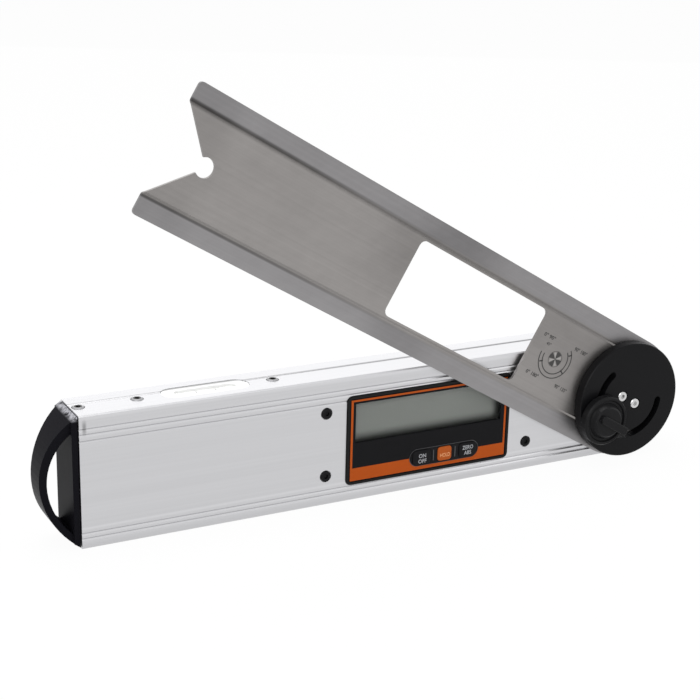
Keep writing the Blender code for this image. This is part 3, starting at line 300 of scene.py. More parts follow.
def smooth_finish(name, colour, roughness, metallic=0.0):
    """A plain finish with a slight change of shade over the surface."""
    mat, tree, shader = new_finish(name, roughness, metallic)
    patches = noise(tree, object_vector(tree), 90.0, 2.0)
    shade = value_node(tree, "ADD", 0.94, value_node(tree, "MULTIPLY", patches, 0.12))
    tree.links.new(tinted(tree, colour, shade), shader.inputs["Base Color"])
    return mat


def paint(mat, *names):
    """Gives a finish to CAD nodes."""
    for name in names:
        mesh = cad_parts[name].data
        mesh.materials.clear()
        mesh.materials.append(mat)


# %% [markdown]
# The body is an aluminium extrusion, which is drawn through a die and so has its lines along the length. Its top
# edge and the ridges beside the grooves get painted highlights, its bottom edge gets painted shade, the seam in the
# top gets painted shade, and a small painted dark reflection lies near the left end. A node group gives that painted
# light and shade from the place on the body, read from Object coordinates.

# %% The painted light and shade of the drawn body
MM = 0.001


def ramp(tree, value, low, high):
    """0 at low, 1 at high, and smooth between them."""
    node = tree.nodes.new("ShaderNodeMapRange")
    node.interpolation_type = "SMOOTHSTEP"
    node.inputs["From Min"].default_value = low
    node.inputs["From Max"].default_value = high
    tree.links.new(value, node.inputs["Value"])
    return node.outputs["Result"]


def line_at(tree, value, place, half):
    """1 on a line at a place, and 0 from half its width on."""
    away = value_node(tree, "ABSOLUTE", value_node(tree, "SUBTRACT", value, place))
    return ramp(tree, away, half, 0.15 * half)


def add_marks(tree, marks, value):
    """1 plus all marks, each given as place, half width and strength along a value."""
    total = value_node(tree, "ADD", 1.0, 0.0)
    for place, half, strength in marks:
        mark = value_node(tree, "MULTIPLY", line_at(tree, value, place * MM, half * MM), strength)
        total = value_node(tree, "ADD", total, mark)
    return total


def axes_of(tree, vector):
    """The X, Y and Z sockets of a vector."""
    node = tree.nodes.new("ShaderNodeSeparateXYZ")
    tree.links.new(vector, node.inputs["Vector"])
    return node.outputs["X"], node.outputs["Y"], node.outputs["Z"]


drawn, drawn_in, drawn_out = new_group(
    "painted light and shade of the body", [("Vector", "NodeSocketVector", None)], [("Shade", "NodeSocketFloat")])
end_side, depth, height = axes_of(drawn, drawn_in.outputs["Vector"])
# Painted highlights along the ridges beside the grooves and along the top edge, and painted shade along the bottom
# edge.
LIGHT_AND_SHADE_BANDS = ((9.3, 0.9, 0.09), (6.2, 0.7, 0.05), (3.7, 0.6, 0.04), (50.7, 0.8, 0.05), (53.2, 0.8, 0.05),
          (58.9, 1.6, 0.09), (0.8, 3.0, -0.06))
shade = add_marks(drawn, LIGHT_AND_SHADE_BANDS, height)
# Painted shade along the seam in the top, and a small painted dark reflection near the left end.
on_top = ramp(drawn, height, 59.2 * MM, 59.5 * MM)
seam = value_node(drawn, "MULTIPLY", line_at(drawn, depth, 2.8 * MM, 1.7 * MM), on_top)
dark_reflection = value_node(drawn, "MULTIPLY", line_at(drawn, end_side, -140.2 * MM, 1.3 * MM),
                    line_at(drawn, height, 54.5 * MM, 4.5 * MM))
SEAM_SHADE = 0.52
REFLECTION_DARK = 0.45
dark = value_node(drawn, "ADD", value_node(drawn, "MULTIPLY", seam, SEAM_SHADE),
                  value_node(drawn, "MULTIPLY", dark_reflection, REFLECTION_DARK))
shade = value_node(drawn, "MULTIPLY", shade, value_node(drawn, "SUBTRACT", 1.0, dark))
drawn.links.new(shade, drawn_out.inputs["Shade"])

# %% [markdown]
# The arm is stainless sheet, darker and greyer, brushed along its own length, which stands at 30.5 degrees. Where
# the sheet is bent towards its two edges, a line of painted shade lies, darkest near the tip, and the upper side of
# the arm gets painted shade too, most on the web near the hub. The strips are darker over a stretch of their length,
# the end of the tip is darker, and the sheet has faint stains. A second group works out the place across and along
# the arm and gives the shade from all of these.

# %% The painted shade of the bends, and the stains of the arm
OPENING_DEG = 30.5
PIVOT = Vector((134.0 * MM, 0, 30.0 * MM))
opening = math.radians(OPENING_DEG)
bends, bends_in, bends_out = new_group(
    "painted bend shade and stains of the arm", [("Vector", "NodeSocketVector", None)],
    [("Shade", "NodeSocketFloat"), ("Strip", "NodeSocketFloat")])
side, _, height = axes_of(bends, bends_in.outputs["Vector"])
across = value_node(
    bends, "ADD",
    value_node(bends, "MULTIPLY", value_node(bends, "SUBTRACT", side, PIVOT.x), math.sin(opening)),
    value_node(bends, "MULTIPLY", value_node(bends, "SUBTRACT", height, PIVOT.z), math.cos(opening)))
along = value_node(
    bends, "ADD",
    value_node(bends, "MULTIPLY", value_node(bends, "SUBTRACT", PIVOT.x, side), math.cos(opening)),
    value_node(bends, "MULTIPLY", value_node(bends, "SUBTRACT", height, PIVOT.z), math.sin(opening)))


def darker(shade, strength, *masks):
    """A shade that is less by a strength where all masks are 1."""
    for mask in masks:
        strength = value_node(bends, "MULTIPLY", mask, strength)
    return value_node(bends, "SUBTRACT", shade, strength)


towards_tip = ramp(bends, along, 112 * MM, 238 * MM)
upper_side = ramp(bends, across, 20.8 * MM, 22.5 * MM)
lower_side = ramp(bends, across, -20.8 * MM, -22.5 * MM)
on_web = value_node(bends, "SUBTRACT", 1.0, value_node(bends, "ADD", upper_side, lower_side))
# Painted shade: a dark line at each bend, growing towards the tip, and the upper side of the arm and its upper strip
# darker.
shade = add_marks(bends, ((-21.5, 1.15, -0.10), (20.4, 1.4, -0.25)), across)
shade = darker(shade, 0.46, towards_tip, line_at(bends, across, -21.5 * MM, 1.15 * MM))
shade = darker(shade, 0.56, towards_tip, line_at(bends, across, 21.5 * MM, 1.35 * MM))
shade = darker(shade, 0.06, ramp(bends, across, -15 * MM, 15 * MM))
shade = darker(shade, 0.05, upper_side)
# The strips are darker over a stretch of their length.
shade = darker(shade, 0.20, upper_side, line_at(bends, along, 128 * MM, 38 * MM))
shade = darker(shade, 0.20, lower_side, line_at(bends, along, 134 * MM, 26 * MM))
# Painted shade on the upper side of the web, from the hub to about its middle.
shade = darker(shade, 0.15, on_web, ramp(bends, across, -22 * MM, 12 * MM), ramp(bends, along, 178 * MM, 150 * MM))
# The end of the tip is darker.
shade = darker(shade, 0.10, ramp(bends, along, 246 * MM, 262 * MM))
stains = noise(bends, stretch(bends, bends_in.outputs["Vector"], (22, 22, 22), (0, -OPENING_DEG, 0)), 1.0, 3.0)
small = stretch(bends, bends_in.outputs["Vector"], (160, 300, 300), (0, -OPENING_DEG, 0))
fine_stains = noise(bends, small, 1.0, 2.0)
change = value_node(bends, "MULTIPLY", value_node(bends, "SUBTRACT", stains, 0.5), 0.22)
fine_change = value_node(bends, "MULTIPLY", value_node(bends, "SUBTRACT", fine_stains, 0.5), 0.10)
change = value_node(bends, "ADD", change, fine_change)
bends.links.new(value_node(bends, "ADD", shade, change), bends_out.inputs["Shade"])
strip = ramp(bends, value_node(bends, "ABSOLUTE", across), 20.8 * MM, 22.5 * MM)
bends.links.new(strip, bends_out.inputs["Strip"])

# %% [markdown]
# The other metal parts are plain: bright steel, brass, and screws with a black coating. The four screws in the top
# have pale heads with painted shade in their recess, which a distance from the axis of each screw tells apart.

# %% Metal finishes
def shaded_metal(name, colour, roughness, strength, marks, turn_deg=(0, 0, 0)):
    """Brushed metal with its grain along X, or along X turned, and with the shades of a group."""
    mat, tree, shader = new_finish(name, roughness, 1.0)
    place = object_vector(tree)
    lines = add_group(tree, grain, stretch(tree, place, (1, 1, 1), turn_deg), Strength=strength)
    shades = add_group(tree, marks, place)
    both = value_node(tree, "MULTIPLY", lines.outputs["Shade"], shades.outputs["Shade"])
    tree.links.new(tinted(tree, colour, both), shader.inputs["Base Color"])
    add_bump(tree, shader, lines.outputs["Height"], 0.12, 0.00005)
    return mat, tree, shades


aluminium, _, _ = shaded_metal("brushed aluminium", (0.585, 0.585, 0.60), 0.34, 0.16, drawn)
paint(aluminium, "body_profile")
sheet_steel, tree, shades = shaded_metal(
    "brushed sheet steel", (0.297, 0.283, 0.275), 0.40, 0.26, bends, (0, -OPENING_DEG, 0))
blue_strip = tree.nodes.new("ShaderNodeMix")
blue_strip.data_type = "RGBA"
blue_strip.blend_type = "MULTIPLY"
blue_strip.inputs["B"].default_value = (0.955, 0.975, 1.02, 1)
shader = tree.nodes["Principled BSDF"]
tree.links.new(shades.outputs["Strip"], blue_strip.inputs["Factor"])
tree.links.new(shader.inputs["Base Color"].links[0].from_socket, blue_strip.inputs["A"])
tree.links.new(blue_strip.outputs["Result"], shader.inputs["Base Color"])
paint(sheet_steel, "arm_blade")
bright_steel = smooth_finish("bright steel", (0.60, 0.60, 0.60), 0.25, 1.0)
paint(bright_steel, "hub_screw_1", "hub_screw_2", "lock_bolt", "pivot_rotor", "coin_cell", "cell_contact",
      "lock_washer", "on_off_dome", "hold_dome", "zero_dome")
brass = smooth_finish("machined brass", (0.70, 0.50, 0.20), 0.3, 1.0)
paint(brass, "knob_insert")
black_screw = smooth_finish("black screw", (0.006, 0.006, 0.007), 0.35)
black_screw.node_tree.nodes["Principled BSDF"].inputs["IOR"].default_value = 1.2
paint(black_screw, "tray_screw_1", "tray_screw_2", "tray_screw_3", "tray_screw_4")
RECESS_SHADE_RADIUS = 1.5 * MM
for name in ("end_cap_screw", "vial_screw_left", "vial_screw_right", "pivot_cap_screw"):
    low, high = (Vector(corner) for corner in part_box(name))
    top_screw, tree, shader = new_finish(name.replace("_", " ") + " steel", 0.4, 0.6)
    reach = tree.nodes.new("ShaderNodeVectorMath")
    reach.operation = "DISTANCE"
    flat = tree.nodes.new("ShaderNodeVectorMath")
    flat.operation = "MULTIPLY"
    flat.inputs[1].default_value = (1, 1, 0)
    tree.links.new(object_vector(tree), flat.inputs[0])
    tree.links.new(flat.outputs["Vector"], reach.inputs[0])
    reach.inputs[1].default_value = ((low.x + high.x) / 2, (low.y + high.y) / 2, 0)
    # Painted shade in the recess of the screw head.
    shade = value_node(tree, "ADD", 0.03, ramp(tree, reach.outputs["Value"], RECESS_SHADE_RADIUS, RECESS_SHADE_RADIUS + 0.5 * MM))
    tree.links.new(tinted(tree, (0.34, 0.34, 0.35), shade), shader.inputs["Base Color"])
    paint(top_screw, name)

# %% [markdown]
# The mouldings are black. The disc of the hub and the knob have a finer, shinier face than the two end caps. A
# painted highlight lies on the upper rim of the handle: its colour is mixed with a light one there, through a patchy
# noise.

# %% Plastic finishes
cap_plastic = moulded_plastic("black cap plastic", (0.0085, 0.0083, 0.0105), 0.34, 0.25, 1.07)
paint(cap_plastic, "pivot_end_cap", "battery_cap", "module_tray")
hub_plastic = moulded_plastic("black hub plastic", (0.0045, 0.0045, 0.0052), 0.36, 0.15, 1.20)
paint(hub_plastic, "hub_disc", "on_off_button", "zero_button")
knob_plastic = moulded_plastic("black knob plastic", (0.0085, 0.0085, 0.0092), 0.36, 0.15, 1.20)
paint(knob_plastic, "lock_knob")
bezel_plastic = moulded_plastic("black bezel plastic", (0.0085, 0.0085, 0.0085), 0.36, 0.15, 1.20)
paint(bezel_plastic, "display_bezel")
handle_plastic = moulded_plastic("black handle plastic", (0.0075, 0.0073, 0.0095), 0.34, 0.25, 1.07)
tree = handle_plastic.node_tree
shader = tree.nodes["Principled BSDF"]
end_side, _, height = axes_of(tree, object_vector(tree))
# Painted highlight on the upper rim of the handle.
rim_highlight = value_node(tree, "MULTIPLY", ramp(tree, height, 57.2 * MM, 58.6 * MM),
                    ramp(tree, end_side, -148.5 * MM, -144.5 * MM))
rim_highlight = value_node(tree, "MULTIPLY", rim_highlight, ramp(tree, noise(tree, object_vector(tree), 420.0, 3.0), 0.30, 0.62))
rim_highlight_mix = tree.nodes.new("ShaderNodeMix")
rim_highlight_mix.data_type = "RGBA"
rim_highlight_mix.inputs["B"].default_value = (0.40, 0.40, 0.43, 1)
tree.links.new(rim_highlight, rim_highlight_mix.inputs["Factor"])
tree.links.new(shader.inputs["Base Color"].links[0].from_socket, rim_highlight_mix.inputs["A"])
tree.links.new(rim_highlight_mix.outputs["Result"], shader.inputs["Base Color"])
paint(handle_plastic, "end_cap_handle")
orange_plastic = moulded_plastic("orange button plastic", (0.42, 0.088, 0.014), 0.4, 0.15, 1.2)
paint(orange_plastic, "hold_button")
nylon = smooth_finish("white nylon", (0.72, 0.71, 0.68), 0.5)
paint(nylon, "pivot_bush", "thrust_washer", "vial_cradle")
solder_mask = smooth_finish("green solder mask", (0.02, 0.12, 0.05), 0.35)
paint(solder_mask, "circuit_board", "encoder_stator", "encoder_rotor")
film = smooth_finish("amber film", (0.45, 0.20, 0.04), 0.35)
paint(film, "encoder_flex")

# %% [markdown]
# New pieces are modelled as by hand: a primitive is added, some of its faces or edges are selected by their
# place, and edit-mode operators work on them. The helpers below open a piece with just the wanted parts selected,
# round the edges that run along one axis, and finish a piece: its place goes into its mesh, it gets its finish,
# and it rides on a body.

# %% Helpers for modelling
def only(piece):
    """Makes one object the selected and active one."""
    bpy.ops.object.select_all(action="DESELECT")
    piece.select_set(True)
    bpy.context.view_layer.objects.active = piece


def place_of(piece, part):
    """The middle of a vertex, an edge or a face."""
    if hasattr(part, "co"):
        return part.co
    corners = [piece.data.vertices[i].co for i in part.vertices]
    return sum(corners, Vector()) / len(corners)


def open_piece(piece, kind="FACE", wanted=None):
    """Goes to edit mode with the wanted vertices, edges or faces selected, or all of them."""
    only(piece)
    bpy.ops.object.mode_set(mode="EDIT")
    bpy.ops.mesh.select_mode(type=kind)
    bpy.ops.mesh.select_all(action="SELECT" if wanted is None else "DESELECT")
    if wanted is None:
        return
    bpy.ops.object.mode_set(mode="OBJECT")
    parts = {"VERT": piece.data.vertices, "EDGE": piece.data.edges, "FACE": piece.data.polygons}[kind]
    for part in parts:
        part.select = bool(wanted(part, place_of(piece, part)))
    bpy.ops.object.mode_set(mode="EDIT")


def close_piece():
    """Goes back to object mode."""
    bpy.ops.object.mode_set(mode="OBJECT")


def settle(piece):
    """Puts the place, turn and size of an object into its mesh."""
    only(piece)
    bpy.ops.object.transform_apply(location=True, rotation=True, scale=True)


def outward(piece, gap=1e-6):
    """Merges doubles and turns all faces outwards."""
    open_piece(piece)
    bpy.ops.mesh.remove_doubles(threshold=gap)
    bpy.ops.mesh.normals_make_consistent(inside=False)
    close_piece()


def wear(piece, mat, body, smooth_deg=35):
    """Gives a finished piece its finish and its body."""
    piece.data.materials.clear()
    piece.data.materials.append(mat)
    only(piece)
    bpy.ops.object.shade_smooth_by_angle(angle=math.radians(smooth_deg))
    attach(piece, body)
    return piece


def rounded_block(name, low, high, radius, steps=8, axis="Y"):
    """A block whose edges along one axis are rounded."""
    low, high = Vector(low), Vector(high)
    bpy.ops.object.select_all(action="DESELECT")
    bpy.ops.mesh.primitive_cube_add(size=1, location=(low + high) / 2)
    block = bpy.context.object
    block.name = block.data.name = name
    block.scale = high - low
    settle(block)
    along = "XYZ".index(axis)

    def upright(edge, middle):
        a, b = (block.data.vertices[i].co for i in edge.vertices)
        return abs((a - b)[along]) > 1e-6

    open_piece(block, "EDGE", upright)
    bpy.ops.mesh.bevel(offset=radius, segments=steps, affect="EDGES")
    close_piece()
    return block


def take_away(piece, tool):
    """Cuts one object out of another and removes the tool."""
    step = piece.modifiers.new("cut", "BOOLEAN")
    step.operation = "DIFFERENCE"
    step.solver = "EXACT"
    step.object = tool
    only(piece)
    bpy.ops.object.modifier_apply(modifier=step.name)
    bpy.data.objects.remove(tool)


def soften(piece, width, steps=2, angle_deg=40):
    """Rounds the sharp edges of a piece a little."""
    step = piece.modifiers.new("soft edges", "BEVEL")
    step.width = width
    step.segments = steps
    step.limit_method = "ANGLE"
    step.angle_limit = math.radians(angle_deg)
    only(piece)
    bpy.ops.object.modifier_apply(modifier=step.name)


# %% [markdown]
# The lens over the display is a clear sheet, printed from behind: an orange border, a black field, and a clear
# window for the display. A rounded block takes the place of the CAD lens. It is cut along the lines of the print
# with bisect, so that each region of the print is a set of faces with its own finish and a sharp edge.

# %% The printed lens
LEFT_END = -142.5 * MM
LENS_CORNER = 1.2 * MM
lens_low, lens_high = (Vector(corner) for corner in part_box("display_lens"))
border_x = (LEFT_END + 126.8 * MM, LEFT_END + 210.0 * MM)
border_z = (9.5 * MM, 48.7 * MM)
field_x = (LEFT_END + 127.9 * MM, LEFT_END + 209.0 * MM)
field_z = (15.7 * MM, 47.8 * MM)
window_x = (LEFT_END + 129.2 * MM, LEFT_END + 206.9 * MM)
window_z = (28.0 * MM, 46.8 * MM)
button_z = (12.3 * MM, 19.1 * MM)
button_x = {"on_off": (159.3, 168.8), "hold": (172.7, 180.1), "zero": (184.3, 193.7)}
BUTTON_GAP = 0.2 * MM
BUTTON_CORNER = {"on_off": 1.6 * MM, "hold": 1.4 * MM, "zero": 1.6 * MM}


def through_button(name, gap):
    """A block through the place of one button, larger by a gap."""
    left, right = (LEFT_END + x * MM for x in button_x[name])
    low = (left - gap, lens_low.y - 3 * MM, button_z[0] - gap)
    high = (right + gap, lens_high.y + 3 * MM, button_z[1] + gap)
    return rounded_block("opening", low, high, BUTTON_CORNER[name] + gap, 5)


def bisect_at(piece, axis, value):
    """Cuts all faces of a piece at one place along an axis, and keeps both sides."""
    normal = [float(axis == name) for name in "XYZ"]
    open_piece(piece)
    bpy.ops.mesh.bisect(plane_co=[value * part for part in normal], plane_no=normal, threshold=1e-7)
    close_piece()


def inside(value, limits):
    """True between two limits."""
    return limits[0] < value < limits[1]


printed_lens = rounded_block("printed_lens", lens_low, lens_high, LENS_CORNER, 6)
for name in button_x:
    take_away(printed_lens, through_button(name, BUTTON_GAP))
for value in field_x + window_x + border_x:
    bisect_at(printed_lens, "X", value)
for value in field_z + window_z + border_z:
    bisect_at(printed_lens, "Z", value)


def region(middle):
    """0 for the black print, 1 for the orange one, 2 for the clear window."""
    if inside(middle.x, window_x) and inside(middle.z, window_z):
        return 2
    if inside(middle.x, field_x) and inside(middle.z, field_z):
        return 0
    return 1 if inside(middle.x, border_x) and inside(middle.z, border_z) else 0


lens_black = smooth_finish("black lens print", (0.0065, 0.0065, 0.0075), 0.22)
lens_black.node_tree.nodes["Principled BSDF"].inputs["IOR"].default_value = 1.17
lens_orange = smooth_finish("orange lens print", (0.43, 0.074, 0.006), 0.30)
lens_orange.node_tree.nodes["Principled BSDF"].inputs["IOR"].default_value = 1.2
lens_clear = smooth_finish("clear lens window", (0.03, 0.03, 0.03), 0.08)
lens_clear.node_tree.nodes["Principled BSDF"].inputs["Alpha"].default_value = 0.05
printed_lens.data.materials.clear()
for mat in (lens_black, lens_orange, lens_clear):
    printed_lens.data.materials.append(mat)
for face in printed_lens.data.polygons:
    face.material_index = region(place_of(printed_lens, face))
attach(printed_lens, "housing")
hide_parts("display_lens")
paint(lens_black, "display_lens")
print("lens faces:", len(printed_lens.data.polygons))

# %% [markdown]
# The display itself is grey when it is off. Its light fades at the right and at the bottom, where the ledge of
# the bezel keeps the light out. The fades follow the Object coordinates of the panel.

# %% The grey display
display_glass, tree, shader = new_finish("grey display", 0.35)
shader.inputs["Specular IOR Level"].default_value = 0.3
axes = tree.nodes.new("ShaderNodeSeparateXYZ")
tree.links.new(object_vector(tree), axes.inputs["Vector"])
lower = ramp(tree, axes.outputs["Z"], 27.0 * MM, 33.2 * MM)
right = ramp(tree, axes.outputs["X"], LEFT_END + 207.2 * MM, LEFT_END + 202.2 * MM)
sides = value_node(tree, "MULTIPLY", lower, right)
slow = value_node(tree, "MULTIPLY", noise(tree, object_vector(tree), 25.0), 0.22)
bright = value_node(tree, "MULTIPLY", sides, value_node(tree, "ADD", slow, 0.86))
whole = value_node(tree, "ADD", value_node(tree, "MULTIPLY", bright, 0.90), 0.10)
tree.links.new(tinted(tree, (0.225, 0.24, 0.222), whole), shader.inputs["Base Color"])
paint(display_glass, "lcd_panel")

# %% [markdown]
# The three buttons stand in a black surround with round ends, moulded onto the lens. It starts as a block whose
# corners are rounded until they meet, and rounded openings are cut where the buttons come through. A slightly
# larger grey plate under it gives the thin light outline of the photograph, and a thin grey bar on each side of the
# middle button is a painted highlight on the edge of the button next to it.

# %% The button surround
pill_x = (LEFT_END + 158.1 * MM, LEFT_END + 194.9 * MM)
pill_z = (11.5 * MM, 19.5 * MM)
PILL_THICK = 0.5 * MM
OUTLINE_WIDTH = 0.3 * MM
OUTLINE_THICK = 0.15 * MM


def pill(name, grow, thick):
    """A plate with round ends on the lens, with an opening for each button."""
    low = (pill_x[0] - grow, lens_low.y - thick, pill_z[0] - grow)
    high = (pill_x[1] + grow, lens_low.y + 0.02 * MM, pill_z[1] + grow)
    plate = rounded_block(name, low, high, (high[2] - low[2]) / 2 - 0.002 * MM, 14)
    for button in button_x:
        take_away(plate, through_button(button, 0.8 * BUTTON_GAP))
    outward(plate)
    return plate


outline_and_highlight_grey = smooth_finish("grey outline print and highlight", (0.055, 0.055, 0.058), 0.4)
button_black = moulded_plastic("black button plastic", (0.0055, 0.0055, 0.0065), 0.40, 0.15, 1.2)
surround = pill("button_surround", 0.0, PILL_THICK)
soften(surround, 0.12 * MM)
wear(surround, button_black, "housing")
outline_plate = pill("surround_outline", OUTLINE_WIDTH, OUTLINE_THICK)
wear(outline_plate, outline_and_highlight_grey, "housing")
# Painted highlight: a thin grey bar on the edge of each button beside the middle one.
for side, x in (("left", 170.5), ("right", 182.2)):
    low = (LEFT_END + (x - 0.2) * MM, lens_low.y - PILL_THICK - 0.05 * MM, 13.0 * MM)
    bar = rounded_block(f"surround_highlight_bar_{side}", low, (low[0] + 0.4 * MM, low[1] + 0.2 * MM, 18.3 * MM), 0.15 * MM, 2)
    wear(bar, outline_and_highlight_grey, "housing")

# %% [markdown]
# The buttons are short blocks with rounded corners and softened edges. They stand a little proud of the surround
# and reach back through the lens. The hold button is orange, the other two are black.

# %% The buttons
face_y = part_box("on_off_button")[0][1]
BUTTON_DEEP = 2.0 * MM


def button(name, body, mat, slot):
    """The part of a button that shows, in place of the CAD button."""
    left, right = (LEFT_END + x * MM for x in button_x[body])
    low, high = (left, face_y, button_z[0]), (right, face_y + BUTTON_DEEP, button_z[1])
    piece = rounded_block(name, low, high, BUTTON_CORNER[body], 5)
    soften(piece, 0.25 * MM, 3)
    wear(piece, mat, body)
    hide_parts(body + "_button")
    paint(mat, body + "_button")


button("on_off_key", "on_off", button_black, "black_plastic")
button("hold_key", "hold", orange_plastic, "orange_plastic")
button("zero_key", "zero", button_black, "black_plastic")
print("button faces stand at Y", round(1000 * face_y, 2), "mm")

# %% [markdown]
# The words on the buttons are the plain ones that any such button has. A text object is made, turned into a
# mesh, and only then placed, so that its place is in its mesh like that of every other piece.

# %% The words on the buttons
def lettering(name, words, height, width, place, turn_deg, mat, body, thick=0.04 * MM, bold=0.005):
    """Thin flat letters, centred on a place on a face that looks to -Y, turned by turn_deg about Y."""
    bpy.ops.object.select_all(action="DESELECT")
    bpy.ops.object.text_add(location=(0, 0, 0))
    text = bpy.context.object
    text.name = name
    text.data.body = words
    text.data.align_x = "CENTER"
    text.data.space_line = 0.96
    text.data.extrude = 0.02
    text.data.offset = bold
    text.data.resolution_u = 3
    bpy.ops.object.convert(target="MESH")
    text = bpy.context.object
    outward(text, 1e-4)
    corners = [v.co for v in text.data.vertices]
    low = [min(c[i] for c in corners) for i in range(3)]
    high = [max(c[i] for c in corners) for i in range(3)]
    centre = [(a + b) / 2 for a, b in zip(low, high)]
    scale = (width / (high[0] - low[0]), height / (high[1] - low[1]), thick / (high[2] - low[2]))
    text.data.transform(Matrix.Diagonal((*scale, 1)) @ Matrix.Translation([-c for c in centre]))
    upright = Matrix.Rotation(math.radians(turn_deg), 4, "Y") @ Matrix.Rotation(math.radians(90), 4, "X")
    text.data.transform(Matrix.Translation(place) @ upright)
    text.name = text.data.name = name
    return wear(text, mat, body)


letter_grey = smooth_finish("grey letter ink", (0.42, 0.43, 0.45), 0.5)
letter_orange = smooth_finish("light orange letter ink", (0.78, 0.38, 0.16), 0.5)
LETTER_Y = face_y - 0.02 * MM
lettering("on_off_letters", "ON\nOFF", 4.6 * MM, 4.3 * MM, (LEFT_END + 164.4 * MM, LETTER_Y, 15.1 * MM), 0,
          letter_grey, "on_off")
lettering("hold_letters", "HOLD", 1.9 * MM, 5.3 * MM, (LEFT_END + 176.6 * MM, LETTER_Y, 15.0 * MM), 0,
          letter_orange, "hold")
lettering("zero_letters", "ZERO\nABS", 4.6 * MM, 5.8 * MM, (LEFT_END + 189.0 * MM, LETTER_Y, 15.5 * MM), 0,
          letter_grey, "zero")

# %% [markdown]
# A small dial is printed on the arm next to the hub: two arcs that are open at the top, a round mark with four
# dark wedges, short ticks, and plain numbers. Each mark is a very thin plate. It is drawn flat, in millimetres
# around the centre of the dial, and then turned with the arm.

# %% The dial on the arm
WEB_FRONT_Y = -15.3 * MM
INK_THICK = 0.05 * MM
DIAL_ALONG = 49.1 * MM
DIAL_UP = 0.3 * MM
along_arm = Vector((-math.cos(opening), 0, math.sin(opening)))
across_arm = Vector((math.sin(opening), 0, math.cos(opening)))


def on_arm(along, up):
    """A place on the front of the web, from the pivot along the arm and across it."""
    point = PIVOT + along_arm * along + across_arm * up
    return Vector((point.x, WEB_FRONT_Y, point.z))


dial_centre = on_arm(DIAL_ALONG, DIAL_UP)
flat_to_face = Matrix.Translation(dial_centre) @ Matrix.Rotation(math.radians(90), 4, "X")
ink = smooth_finish("dark dial ink", (0.030, 0.029, 0.028), 0.5)
pale_ink = smooth_finish("pale dial ink", (0.33, 0.32, 0.31), 0.45)


def thicken(piece):
    """Gives a flat drawing its thickness, on the side that faces out."""
    open_piece(piece)
    bpy.ops.mesh.extrude_region_move(TRANSFORM_OT_translate={"value": (0, 0, INK_THICK)})
    close_piece()
    outward(piece)


def lay_on_arm(piece, mat):
    """Turns a finished flat drawing onto the face of the arm."""
    thicken(piece)
    piece.data.transform(flat_to_face)
    return wear(piece, mat, "arm")


def arc_mark(name, radius, width, start_deg, end_deg, mat, steps=120):
    """A thin arc between two angles, counted from the right."""
    bpy.ops.object.select_all(action="DESELECT")
    bpy.ops.mesh.primitive_circle_add(vertices=steps, radius=radius + width / 2, fill_type="NOTHING")
    mark = bpy.context.object
    mark.name = mark.data.name = name
    settle(mark)
    open_piece(mark, "EDGE")
    bpy.ops.mesh.extrude_region_move(TRANSFORM_OT_translate={"value": (0, 0, 0)})
    share_left = (radius - width / 2) / (radius + width / 2)
    bpy.ops.transform.resize(value=(share_left, share_left, 1), center_override=(0, 0, 0))
    close_piece()

    def outside(face, middle):
        angle = math.degrees(math.atan2(middle.y, middle.x)) % 360
        return not (start_deg <= angle <= end_deg or start_deg <= angle + 360 <= end_deg)

    open_piece(mark, "FACE", outside)
    bpy.ops.mesh.delete(type="FACE")
    close_piece()
    return lay_on_arm(mark, mat)


def wedge_mark(name, radius, middle_deg, half_deg, mat):
    """A sector of a disc around one direction."""
    bpy.ops.object.select_all(action="DESELECT")
    bpy.ops.mesh.primitive_circle_add(vertices=72, radius=radius, fill_type="TRIFAN")
    mark = bpy.context.object
    mark.name = mark.data.name = name
    settle(mark)

    def unwanted(face, middle):
        angle = math.degrees(math.atan2(middle.y, middle.x))
        return abs((angle - middle_deg + 180) % 360 - 180) > half_deg

    open_piece(mark, "FACE", unwanted)
    bpy.ops.mesh.delete(type="FACE")
    close_piece()
    return mark


arc_mark("dial_outer_arc", 9.5 * MM, 0.5 * MM, 146, 377, ink)
arc_mark("dial_inner_arc", 7.4 * MM, 0.5 * MM, 146, 377, ink)
arc_mark("dial_hub_ring", 3.9 * MM, 0.2 * MM, 0, 360, ink, 72)
for number, middle in enumerate((45, 135, 225, 315), 1):
    lay_on_arm(wedge_mark(f"dial_dark_wedge_{number}", 3.7 * MM, middle, 27, ink), ink)
    lay_on_arm(wedge_mark(f"dial_pale_wedge_{number}", 3.2 * MM, middle - 45, 11, pale_ink), pale_ink)
print("dial centre:", [round(1000 * c, 1) for c in dial_centre])

# %% [markdown]
# Ticks run between the two arcs, and plain numbers stand around the dial, as on any angle scale. The numbers
# read along the arm, so they are turned by the angle at which it stands open.

# %% Ticks and numbers of the dial
def tick_mark(name, along, up, length, turn_deg):
    """A short line that points to the centre of the dial."""
    bpy.ops.object.select_all(action="DESELECT")
    bpy.ops.mesh.primitive_plane_add(size=1)
    mark = bpy.context.object
    mark.name = mark.data.name = name
    mark.scale = (length, 0.7 * MM, 1)
    settle(mark)
    shift = on_arm(DIAL_ALONG + along, DIAL_UP + up) - dial_centre
    mark.data.transform(Matrix.Translation((shift.x, shift.z, 0)) @ Matrix.Rotation(math.radians(turn_deg), 4, "Z"))
    return lay_on_arm(mark, ink)


